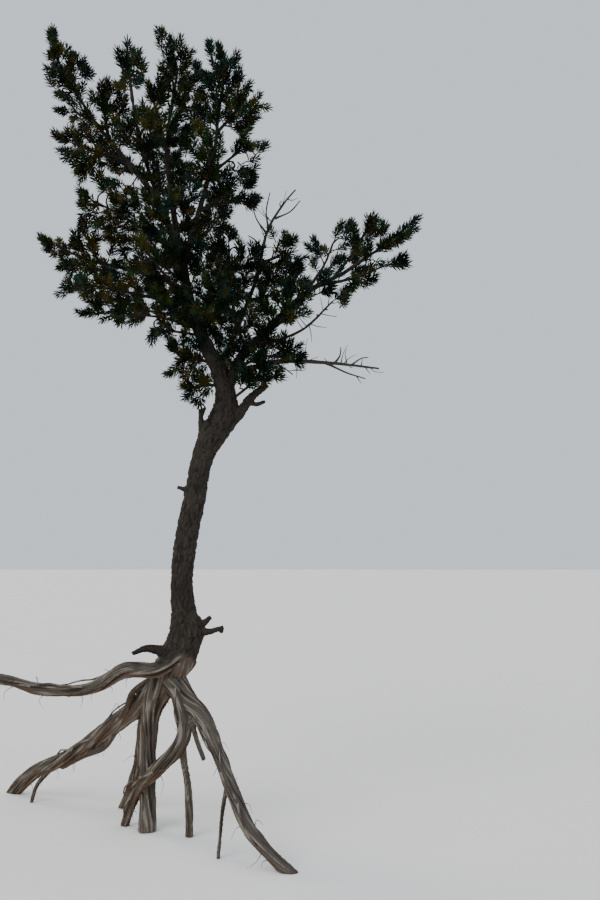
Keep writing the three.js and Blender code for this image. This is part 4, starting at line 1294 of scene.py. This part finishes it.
def twiglets(name):
    """Short dead twigs along a limb: those that are placed one by one, and more by a seeded rule."""
    made = [limb(line, TWIGLET_RADIUS) for line in FINE_TWIGS.get(name, [])]
    if name not in TWIGLETS:
        return made
    line = LIMB_LINES[name]
    random = np.random.default_rng(len(name) + FIRST_SEED)
    count = round(TWIGLETS[name] * line.length)
    for k, share in enumerate(spaced(count, TWIGLET_PART, random)):
        root, heading = line.place(share), line.heading(share)
        splay = math.radians(random.uniform(*TWIGLET_SPLAY))
        way = splayed(heading, math.radians(k * GOLDEN_TURN), splay)
        length = random.uniform(*TWIGLET_LENGTH)
        bow = random.uniform(-TWIGLET_BOW, TWIGLET_BOW, 3) * length
        middle = root + way * length * 0.5 + bow
        end = root + unit(way + heading * TWIGLET_CURL) * length
        made.append(limb([root, middle, end], TWIGLET_RADIUS))
    return made


def seeded(seed):
    """Repeatable random numbers from 0 to 1, the same as those of the frame's solids."""
    state = seed

    def draw():
        nonlocal state
        state = (state * DRAW_FACTOR + DRAW_STEP) % DRAW_RANGE
        return state / DRAW_RANGE

    return draw


def splayed(axis, turn, angle):
    """A direction bent from an axis by an angle towards a turned side."""
    wide = unit(np.cross(axis, crosswise(axis)))
    deep = np.cross(wide, axis)
    side = wide * math.cos(turn) + deep * math.sin(turn)
    return axis * math.cos(angle) + side * math.sin(angle)


def leaving_point(line, height):
    """Where a limb's middle line first passes a height, or else its tip."""
    points = line.places(np.linspace(0, 1, HEIGHTS_TRIED))
    above = np.nonzero(points[:, 2] >= height)[0]
    return points[above[0]] if len(above) else points[-1]


def grow_mass(form, seed):
    """The stem, the twigs and the sprays of one mass, by the rule of the frame's solids."""
    draw = seeded(seed)

    def between(low, high):
        return lerp(low, high, draw())

    def any_turn():
        return between(0, 2 * math.pi)

    start = leaving_point(LIMB_LINES[form.on], form.leaves)
    tip, via = np.array(form.tip, float), np.array(form.via, float)
    crown = tip + unit(via - tip) * SPRAY_LENGTH * TOP_SPRAY
    stem = Line([start, via, crown])
    twigs, sprays = [], []

    def add_spray(root, axis, length, sides):
        sprays.append(SimpleNamespace(root=root, axis=axis, length=length, turn=any_turn(), sides=sides))

    add_spray(crown, stem.heading(1), SPRAY_LENGTH * TOP_SPRAY, END_SIDES)
    bare = max(BARE_LEAST, 1 - TWIGGED_REACHES * form.reach / stem.length)
    for k in range(form.twigs):
        share = lerp(bare, LAST_TWIG, (k + 0.5) / form.twigs)
        root = stem.place(share)
        turn = math.radians(form.turn + k * GOLDEN_TURN + between(-JITTER, JITTER))
        direction = splayed(stem.heading(share), turn, math.radians(SPLAY))
        direction[2] += between(0, LIFT)
        direction = unit(direction)
        whole = form.reach * (LOW_REACH - REACH_FALL * share) * between(*REACH_RANGE)
        length = SPRAY_LENGTH * between(*SPRAY_RANGE)
        twig_length = max(LEAST_TWIG, whole - length * SPRAY_OVERREACH)
        end = root + direction * twig_length
        twigs.append((root, direction, twig_length))
        add_spray(end, direction, length, END_SIDES)
        if twig_length <= LONG_TWIG:
            continue
        fork_turn = any_turn()
        for side in (0, math.pi):
            fork = lerp(root, end, between(*FORK_RANGE))
            axis = splayed(direction, fork_turn + side, math.radians(FORK_SPLAY))
            add_spray(fork, axis, length * FORK_SPRAY, FORK_SIDES)
    return stem, bare, twigs, sprays


def lone_shoots(stem, bare, twigs, random):
    """Short sprays of one shoot each that stand along the twigs and the stem of a mass."""
    made = []
    for line, low, each in [(stem, bare, STEM_SHOOTS), *((twig, LONE_FROM, TWIG_SHOOTS) for twig in twigs)]:
        count = round(each * line.length * (1 - low))
        for k, share in enumerate(spaced(count, (low, LONE_TO), random)):
            turn = math.radians(k * GOLDEN_TURN + random.uniform(-LONE_TURN_JITTER, LONE_TURN_JITTER))
            axis = splayed(line.heading(share), turn, math.radians(random.uniform(*LONE_SPLAY)))
            made.append(SimpleNamespace(
                root=line.place(share), axis=axis, length=random.uniform(*LONE_SHOOT) / MAIN_SHOOT,
                turn=turn, sides=0))
    return made


def shoots_of(spray, random):
    """The shoots that carry one spray on to finer twigs: a main shoot and side shoots."""
    made = []

    def add(foot, axis, length):
        end = foot + axis * length
        middle = foot + axis * length * 0.5
        end[2] += length * SHOOT_RISE
        middle[2] -= length * SHOOT_RISE * 0.5
        clad = random.uniform(*CLAD_FROM)
        made.append(SimpleNamespace(line=Line([foot, middle, end]), clad=clad))

    add(spray.root, spray.axis, spray.length * MAIN_SHOOT)
    for k, share in enumerate(spaced(spray.sides, SIDE_FROM, random)):
        turn = math.radians(k * GOLDEN_TURN + random.uniform(-SIDE_TURN_JITTER, SIDE_TURN_JITTER))
        splay = math.radians(SIDE_SPLAY + random.uniform(-SIDE_SPLAY_JITTER, SIDE_SPLAY_JITTER))
        foot = spray.root + spray.axis * spray.length * share
        axis = splayed(spray.axis, spray.turn + turn, splay)
        add(foot, axis, spray.length * SIDE_SHOOT * random.uniform(*SIDE_RANGE))
    return made


def tones_of(spray, random):
    """The tones of a spray's needles, at their sheathed feet and further out. Warm tones come
    more often inside the crown and, as painted low sunlight, on the western side and in needles that
    point west; teal comes more often high up and in the east, as painted reflection of the sky."""
    outward = smooth_step(*OUTWARD_SPAN, -spray.axis[0])
    west = smooth_step(*WEST_SPAN, -spray.root[0])
    high = smooth_step(*HIGH_SPAN, spray.root[2])
    east = smooth_step(*EAST_SPAN, spray.root[0])
    inside = spray.sides == 0
    # Painted low sunlight: warmth grows in needles that point west and on the western side, less high up
    warm = WARM_LEAST + SUNLIGHT_OUTWARD * outward
    warm += SUNLIGHT_WEST * west * (1 - SUNLIGHT_LOST_HIGH * high) + WARM_INSIDE * inside
    # Painted reflection of the sky: more teal high up and in the east
    sky_reflection = max(high, east) - west * (1 - high)
    olive = WARM_TO_OLIVE * warm
    chances = (np.array(COOL_TONES) + np.array(SKY_REFLECTION_ADDS) * sky_reflection) * (1 - olive)
    outer = random.choice(TONES[:-1], p=[*chances, olive])
    at_foot = [least + more * warm for least, more in (FOOT_AMBER, FOOT_OLIVE)]
    return random.choice(("amber", "olive", outer), p=[*at_foot, 1 - sum(at_foot)]), outer


def in_front_plane(points):
    """Where points are seen from the camera, across and up in the plane of the trunk."""
    eye = np.array(CAMERA_PLACE)
    away = points - eye
    seen = eye + away * (-eye[1] / away[..., 1:2])
    return seen[..., [0, 2]]


def in_gap(shoot):
    """Whether a shoot would stand where the sky shows through."""
    seen = in_front_plane(shoot.line.places(GAP_TEST))
    return any(np.hypot(*(seen - gap[:2]).T).min() < gap[2] for gap in np.array(GAPS))


def grow_plumes(lines, random):
    """The plumes that close the crown: each twig from the limb that is nearest to the plume as it
    is seen, and the spray at the twig's end."""
    shares = np.linspace(PLUME_FROM, 1, PLUME_FEET)
    feet = np.vstack([line.places(shares) for line in lines])
    headings = np.vstack([[line.heading(share) for share in shares] for line in lines])
    eye = np.array(CAMERA_PLACE)
    onward, upward = PLUME_LEAN
    twigs, sprays = [], []
    for across, up, size in PLUMES:
        sight = unit(np.array([across, 0, up]) - eye)
        nearest = eye + sight * (feet - eye).dot(sight)[:, None]
        off = np.linalg.norm(nearest - feet, axis=1)
        front = np.sqrt(np.maximum(PLUME_STANDS_OFF**2 - off**2, 0))
        middles = nearest - sight * front[:, None]
        ways = unit(middles - feet)
        forward = (ways * headings).sum(1)
        pick = np.argmin(off + front * FRONT_COST + BACKWARD_COST * (1 - forward))
        foot, heading, middle = feet[pick], headings[pick], middles[pick]
        axis = unit(ways[pick] + heading * onward + np.array([0, 0, upward]))
        length = PLUME_LENGTH * size
        root = middle - axis * length * 0.5
        bend = lerp(foot, root, 0.5) + heading * PLUME_BEND
        twigs.append(Line([foot, bend, root]))
        sprays.append(SimpleNamespace(
            root=root, axis=axis, length=length, turn=random.uniform(0, 2 * math.pi), sides=PLUME_SIDES))
    return twigs, sprays


def grow_crown():
    """All masses: their wood, as lines with the radius and the tube of each, and their shoots with
    the tones of each."""
    wood, shoots, limbs = [], [], [LIMB_LINES[name] for name in BOUGHS]

    def add(twigs, sprays, random):
        wood.extend((twig, TWIG_RADIUS, TWIG_TUBE) for twig in twigs)
        for spray in sprays:
            tones = tones_of(spray, random)
            for shoot in shoots_of(spray, random):
                shoot.tones = tones if random.random() < SAME_TONES else tones_of(spray, random)
                if not in_gap(shoot):
                    wood.append((shoot.line, SHOOT_RADIUS, SHOOT_TUBE))
                    shoots.append(shoot)

    for index, form in enumerate(MASSES.values()):
        random = np.random.default_rng(FIRST_SEED + index)
        stem, bare, straight, sprays = grow_mass(form, FIRST_SEED + index)
        twigs = []
        for root, direction, length in straight:
            middle = root + direction * length * 0.5 + random.uniform(-TWIG_BOW, TWIG_BOW, 3) * length
            twigs.append(Line([root, middle, root + direction * length]))
        wood.append((stem, STEM_RADIUS, STEM_TUBE))
        limbs += [stem, *twigs]
        add(twigs, sprays + lone_shoots(stem, bare, twigs, random), random)
    random = np.random.default_rng(FIRST_SEED + len(MASSES))
    add(*grow_plumes(limbs, random), random)
    if not shoots:
        raise RuntimeError("the branching rule gave no shoots")
    return wood, shoots


def build_twigs(foliage):
    wood, _ = grow_crown()
    tubes = []
    for line, radius, tube in wood:
        tubes.append(sweep(line, tapered([BARK_SWELL * end for end in radius]), *tube))
    for name in TWIGLETS | FINE_TWIGS:
        if name not in DEAD_LIMBS:
            tubes += [sweep(Line(form.line), tapered(form.radius), *TWIGLET_TUBE) for form in twiglets(name)]
    tube = together(tubes)
    bumps = np.array([noise.noise(Vector(point) * TWIG_BUMPS) for point in tube.points])
    points = tube.points + tube.out * (bumps * BUMP_HEIGHT * tube.radius)[:, None]
    shown("twigs", mesh_of("twigs", points, tube.faces), twig_material(foliage), list(MASSES))


def needles_on(shoot, foliage, random):
    """The needles on one shoot, as triangles: the lower ones from the foot of each needle to where
    it is widest, and the upper ones from there, bent forward, to its tip."""
    line = shoot.line
    bundles = max(LEAST_BUNDLES, round(line.length * (1 - shoot.clad) / foliage.bundle_gap))
    way = (np.arange(bundles) + random.random(bundles)) / bundles
    share = lerp(shoot.clad, 1.0, way)
    turn = np.arange(bundles) * math.radians(GOLDEN_TURN)
    turn += random.uniform(-TURN_JITTER, TURN_JITTER, bundles)
    splay = lerp(FOOT_SPLAY, END_SPLAY, way**SPLAY_POWER)
    splay = np.radians(splay + random.uniform(-SPLAY_JITTER, SPLAY_JITTER, bundles))
    reach = foliage.needle_length * random.uniform(*BUNDLE_RANGE, bundles) * lerp(1, LAST_BUNDLE, way)
    share, turn, splay, reach = (np.repeat(values, BUNDLE) for values in (share, turn, splay, reach))
    count, part = bundles * BUNDLE, math.radians(BUNDLE_PARTING)
    turn += random.uniform(-part, part, count) * SIDEWAYS_PARTING
    splay += random.uniform(-part, part, count)
    reach *= random.uniform(*NEEDLE_RANGE, count)
    axis = unit(line.place(1) - line.place(shoot.clad))
    wide = unit(np.cross(axis, (0, 0, 1) if abs(axis[2]) < NEAR_AXIS else (0, 1, 0)))
    deep = np.cross(wide, axis)
    radial = wide * np.cos(turn)[:, None] + deep * np.sin(turn)[:, None]
    lower = axis * np.cos(splay)[:, None] + radial * np.sin(splay)[:, None]
    bent = splay - math.radians(NEEDLE_BEND)
    upper = axis * np.cos(bent)[:, None] + radial * np.sin(bent)[:, None]
    roll = np.radians(random.uniform(-NEEDLE_ROLL, NEEDLE_ROLL, count))[:, None]
    tangent = np.cross(axis, radial)
    side = tangent * np.cos(roll) + np.cross(lower, tangent) * np.sin(roll)
    foot = line.places(share) + radial * SHOOT_RADIUS[1]
    middle = foot + lower * (reach * WIDEST)[:, None]
    tip = middle + upper * (reach * (1 - WIDEST))[:, None]
    half = side * foliage.needle_width / 2
    left, right = middle + half, middle - half
    return (np.stack(corners, axis=1).reshape(-1, 3) for corners in ((foot, right, left), (left, right, tip)))


def build_needles(foliage):
    _, shoots = grow_crown()
    random = np.random.default_rng(FIRST_SEED)
    needles = {tone: [] for tone in TONES}
    for shoot in shoots:
        for tone, triangles in zip(shoot.tones, needles_on(shoot, foliage, random)):
            needles[tone].append(triangles)
    for tone in TONES:
        points = np.vstack(needles[tone])
        mesh = mesh_of(f"needles_{tone}", points, np.arange(len(points)).reshape(-1, 3))
        skin = needle_material(f"pine_needles_{tone}", getattr(foliage, tone))
        shown(f"needles_{tone}", mesh, skin, list(MASSES), smooth=False)


class Tree:
    """A tree of shader nodes, with short calls for the nodes it is made of."""

    def __init__(self, tree):
        self.nodes, self.links = tree.nodes, tree.links

    def feed(self, socket, value):
        """Links a socket to another one, or gives it a value."""
        if isinstance(value, bpy.types.NodeSocket):
            self.links.new(value, socket)
        else:
            socket.default_value = value

    def add(self, kind, inputs=None, **settings):
        """The outputs of a new node with its settings and with what feeds its inputs."""
        node = self.nodes.new(f"ShaderNode{kind}")
        for name, value in settings.items():
            setattr(node, name, value)
        for name, value in (inputs or {}).items():
            self.feed(node.inputs[name], value)
        return node.outputs

    def times(self, value, factor):
        return self.add("Math", {0: value, 1: factor}, operation="MULTIPLY")["Value"]


def node_group(name, inputs, outputs, fill):
    """A shader node group, made once. Its sockets are given as names with kinds, and a function
    fills it: from the tree and its inputs it makes what feeds each output."""
    if name in bpy.data.node_groups:
        return bpy.data.node_groups[name]
    group = bpy.data.node_groups.new(name, "ShaderNodeTree")
    for way, sockets in (("INPUT", inputs), ("OUTPUT", outputs)):
        for socket, kind in sockets.items():
            group.interface.new_socket(name=socket, in_out=way, socket_type=f"NodeSocket{kind}")
    tree = Tree(group)
    given, made = tree.nodes.new("NodeGroupInput").outputs, tree.nodes.new("NodeGroupOutput").inputs
    for socket, value in fill(tree, given).items():
        tree.feed(made[socket], value)
    return group


def grain_group():
    """Streaks and flecks that run along a limb, from its place on it."""
    def fill(tree, given):
        squeeze = tree.add("CombineXYZ", {"X": 1, "Y": 1, "Z": given["Stretch"]})["Vector"]
        drawn_out = tree.add("VectorMath", {0: given["Place"], 1: squeeze}, operation="MULTIPLY")["Vector"]
        finer = tree.times(given["Scale"], FLECKS_FINER)
        streaks = tree.add("TexNoise", {"Vector": drawn_out, "Scale": given["Scale"], **STREAK_DETAIL})
        flecks = tree.add("TexNoise", {"Vector": given["Place"], "Scale": finer, **FLECK_DETAIL})
        return {"Streaks": streaks["Fac"], "Flecks": flecks["Fac"]}

    inputs = {"Place": "Vector", "Scale": "Float", "Stretch": "Float"}
    return node_group("Limb Grain", inputs, {"Streaks": "Float", "Flecks": "Float"}, fill)


def shade_light_and_wear_group():
    """Masks of cracks, for painted shade, of worn crests, and of undersides, for painted warm light, from the
    relief and the way that a surface faces.
    """
    def fill(tree, given):
        sum_of = {0: given["Streaks"], 1: STREAKS_IN_RELIEF, 2: given["Relief"]}
        painted_light_and_wear = tree.add("Math", sum_of, operation="MULTIPLY_ADD")["Value"]
        # Where the surface faces down, which takes the painted warm light on the roots
        upward = tree.add("SeparateXYZ", {0: tree.add("NewGeometry")["Normal"]})["Z"]
        masks = {"Crack": (painted_light_and_wear, CRACK_SHADE_SPAN), "Crest": (painted_light_and_wear, CREST_SPAN), "Under": (upward, LIT_UNDER_SPAN)}
        made = {}
        for name, (value, (low, high)) in masks.items():
            inputs = {"Value": value, "From Min": low, "From Max": high}
            made[name] = tree.add("MapRange", inputs, interpolation_type="SMOOTHSTEP")["Result"]
        return made

    inputs, masks = {"Relief": "Float", "Streaks": "Float"}, ("Crack", "Crest", "Under")
    return node_group("Worn Relief", inputs, dict.fromkeys(masks, "Float"), fill)


class Shader(Tree):
    """A new material with its Principled shader."""

    def __init__(self, name, roughness, specular):
        self.material = bpy.data.materials.new(name)
        self.material.use_nodes = True
        super().__init__(self.material.node_tree)
        self.surface = self.nodes["Principled BSDF"].inputs
        self.feed(self.surface["Roughness"], roughness)
        self.feed(self.surface["Specular IOR Level"], specular)

    def attribute(self, name, output):
        return self.add("Attribute", attribute_name=name)[output]

    def grain(self, settings, place=None):
        """Grain at a place on a limb, or else at the object's own coordinates."""
        inputs = {"Place": place or self.add("TexCoord")["Object"], **settings}
        return self.add("Group", inputs, node_tree=grain_group())

    def mix(self, share, first, second):
        """Two colours mixed by a share. Each may be a colour or a socket."""
        return self.add("Mix", {0: share, 6: first, 7: second}, data_type="RGBA")[2]

    def span(self, value, low, high):
        """A value from 0 to 1 spread from low to high."""
        return self.add("MapRange", {"Value": value, "To Min": low, "To Max": high})["Result"]

    def rough(self, value, low, high):
        self.feed(self.surface["Roughness"], self.span(value, low, high))

    def bump(self, height, strength, depth):
        inputs = {"Strength": strength, "Distance": depth, "Height": height}
        self.feed(self.surface["Normal"], self.add("Bump", inputs)["Normal"])

    def paint(self, colour):
        self.feed(self.surface["Base Color"], colour)
        return self.material


def shade(colour, factor):
    """A colour made darker or lighter."""
    return [min(channel * factor, 1) for channel in colour[:3]] + [1]


def weathered_material(name, wood, dead=False):
    """Bark with grey crests that gives way to silver grain where the wood is bared, with painted shade in its
    cracks and furrows and, on the bared roots, painted warm light on the undersides.
    """
    shader = Shader(name, *WOOD_SURFACE)
    place = shader.attribute("limb_place", "Vector")
    grain = shader.grain(WOOD_GRAIN, place)
    streaks, flecks = grain["Streaks"], grain["Flecks"]
    relief = {"Relief": shader.attribute("relief", "Fac"), "Streaks": streaks}
    painted_light_and_wear = shader.add("Group", relief, node_tree=shade_light_and_wear_group())
    patches = shader.grain(WOOD_PATCHES, place)["Streaks"]
    bark = shader.mix(shader.span(streaks, *BROWN_SPAN), wood.bark_dark, wood.bark_brown)
    bark = shader.mix(shader.times(painted_light_and_wear["Crest"], BARK_CREST), bark, wood.bark_grey)
    bark = shader.mix(shader.span(patches, *PATCH_SPAN), bark, wood.bark_grey)
    if dead:
        bare = shader.mix(streaks, wood.dead_brown, wood.dead_grey)
    else:
        bare = shader.mix(streaks, wood.root_brown, wood.root_grey)
        # Painted warm light: orange brown on the downward-facing sides of the bared roots
        bare = shader.mix(shader.times(painted_light_and_wear["Under"], ROOT_UNDER_LIGHT), bare, wood.root_sunlit_orange)
        bare = shader.mix(shader.times(painted_light_and_wear["Crest"], ROOT_CREST), bare, wood.root_pale)
    colour = shader.mix(shader.attribute("bared", "Fac"), bark, bare)
    # Painted shade: the cracks of bark and the furrows of bared wood are darkened
    colour = shader.mix(shader.times(painted_light_and_wear["Crack"], CRACK_SHADE), colour, wood.bark_dark)
    shader.rough(flecks, *WOOD_ROUGHNESS)
    shader.bump(flecks, *WOOD_BUMPS)
    return shader.paint(colour)


def twig_material(foliage):
    shader = Shader("pine_twig", *TWIG_SURFACE)
    grain = shader.grain(TWIG_GRAIN)
    shader.bump(grain["Flecks"], *TWIG_BUMP_DEPTH)
    dark = shade(foliage.twig_brown, TWIG_DARK)
    return shader.paint(shader.mix(grain["Streaks"], dark, foliage.twig_brown))


def needle_material(name, tone):
    """One tone of needles, a little lighter and darker from place to place."""
    shader = Shader(name, *NEEDLE_SURFACE)
    flecks = shader.grain(NEEDLE_GRAIN)["Flecks"]
    shader.rough(flecks, *NEEDLE_ROUGHNESS)
    return shader.paint(shader.mix(flecks, shade(tone, NEEDLE_DARK), shade(tone, NEEDLE_LIGHT)))


def in_scene(thing, name):
    """An object of the scene that isn't a piece of the tree."""
    holder = bpy.data.objects.new(name, thing)
    bpy.context.scene.collection.objects.link(holder)
    return holder


def add_light(name, came_from, softness, colour, strength):
    """A distant lamp that shines from a direction. Its softness is its width in degrees."""
    lamp = bpy.data.lights.new(name, "SUN")
    lamp.angle, lamp.energy, lamp.color = math.radians(softness), strength, colour
    holder = in_scene(lamp, name)
    holder.location = Vector(came_from).normalized() * LAMP_DISTANCE
    holder.rotation_euler = (-Vector(came_from)).to_track_quat("-Z", "Y").to_euler()


def add_floor(stage):
    """A wide round floor in one pale colour."""
    sides = np.arange(FLOOR_SIDES)
    turns = sides * 2 * math.pi / FLOOR_SIDES
    rim = np.stack([FLOOR * np.cos(turns), FLOOR * np.sin(turns), np.full(FLOOR_SIDES, -FLOOR_DROP)], axis=1)
    fan = np.stack([np.full(FLOOR_SIDES, FLOOR_SIDES), sides, (sides + 1) % FLOOR_SIDES], axis=1)
    mesh = mesh_of("floor", np.vstack([rim, [[0, 0, -FLOOR_DROP]]]), fan)
    shader = Shader("pale_floor", *WOOD_SURFACE)
    streaks = shader.grain(FLOOR_GRAIN)["Streaks"]
    light = shade(stage.floor_tone, FLOOR_LIGHT)
    mesh.materials.append(shader.paint(shader.mix(streaks, stage.floor_tone, light)))
    floor = in_scene(mesh, "floor")


def build_stage(stage):
    """A wide pale floor, a pale surround, three soft lights and the camera."""
    add_floor(stage)
    world = bpy.data.worlds.new("surround")
    world.use_nodes = True
    world.node_tree.nodes["Background"].inputs["Color"].default_value = stage.sky_tone
    world.node_tree.nodes["Background"].inputs["Strength"].default_value = stage.surround
    bpy.context.scene.world = world

    strengths = {"key": stage.key, "fill": stage.key * FILL_SHARE, "rim": stage.rim}
    for name, light in LIGHTS.items():
        add_light(name, *light, strengths[name])

    lens = bpy.data.cameras.new("camera")
    lens.lens = stage.lens
    lens.sensor_width = SENSOR
    camera = in_scene(lens, "camera")
    camera.location = CAMERA_PLACE
    camera.rotation_euler = (math.radians(90 + CAMERA_PITCH), 0, 0)
    bpy.context.scene.camera = camera


class PINE_OT_stage(bpy.types.Operator):
    """Make the floor, the lights and the camera"""
    bl_idname = "pine.stage"
    bl_label = "Stage"

    def execute(self, context):
        build_stage(context.scene.pine_stage)
        return {"FINISHED"}


class PINE_OT_trunk_and_roots(bpy.types.Operator):
    """Build the trunk in its bark and the bared roots"""
    bl_idname = "pine.trunk_and_roots"
    bl_label = "Trunk and Roots"

    def execute(self, context):
        build_trunk_and_roots(context.scene.pine_wood)
        return {"FINISHED"}


class PINE_OT_boughs(bpy.types.Operator):
    """Build the living boughs"""
    bl_idname = "pine.boughs"
    bl_label = "Boughs"

    def execute(self, context):
        build_boughs(context.scene.pine_wood)
        return {"FINISHED"}


class PINE_OT_dead_limbs(bpy.types.Operator):
    """Build the dead limbs with their bare twigs"""
    bl_idname = "pine.dead_limbs"
    bl_label = "Dead Limbs"

    def execute(self, context):
        build_dead_limbs(context.scene.pine_wood)
        return {"FINISHED"}


class PINE_OT_twigs(bpy.types.Operator):
    """Grow the stems and twigs of the foliage masses"""
    bl_idname = "pine.twigs"
    bl_label = "Twigs"

    def execute(self, context):
        build_twigs(context.scene.pine_foliage)
        return {"FINISHED"}


class PINE_OT_needles(bpy.types.Operator):
    """Grow the needles, one piece for each tone"""
    bl_idname = "pine.needles"
    bl_label = "Needles"

    def execute(self, context):
        build_needles(context.scene.pine_foliage)
        return {"FINISHED"}


class PINE_PT_panel(bpy.types.Panel):
    """The pine's sizes and colours, and the steps that build it"""
    bl_idname = "PINE_PT_panel"
    bl_label = "Wind-Shaped Pine"
    bl_space_type = "VIEW_3D"
    bl_region_type = "UI"
    bl_category = "Pine"

    def draw(self, context):
        layout, scene = self.layout, context.scene
        for settings, steps in (
                (scene.pine_stage, ["stage"]),
                (scene.pine_wood, ["trunk_and_roots", "boughs", "dead_limbs"]),
                (scene.pine_foliage, ["twigs", "needles"])):
            box = layout.box()
            for name in settings.bl_rna.properties.keys():
                if name not in ("rna_type", "name"):
                    box.prop(settings, name)
            for step in steps:
                box.operator(f"pine.{step}")


SETTINGS = {"pine_wood": PineWood, "pine_foliage": PineFoliage, "pine_stage": PineStage}
STEPS = (
    PINE_OT_stage, PINE_OT_trunk_and_roots, PINE_OT_boughs, PINE_OT_dead_limbs, PINE_OT_twigs,
    PINE_OT_needles)


def register():
    for kind in (*SETTINGS.values(), *STEPS, PINE_PT_panel):
        bpy.utils.register_class(kind)
    for name, kind in SETTINGS.items():
        setattr(bpy.types.Scene, name, PointerProperty(type=kind))


def unregister():
    for name in SETTINGS:
        delattr(bpy.types.Scene, name)
    for kind in reversed((*SETTINGS.values(), *STEPS, PINE_PT_panel)):
        bpy.utils.unregister_class(kind)


def main():
    """Builds the whole tree."""
    register()
    bpy.ops.pine.stage()
    bpy.ops.pine.trunk_and_roots()
    bpy.ops.pine.boughs()
    bpy.ops.pine.dead_limbs()
    bpy.ops.pine.twigs()
    bpy.ops.pine.needles()


if __name__ == "__main__":
    main()
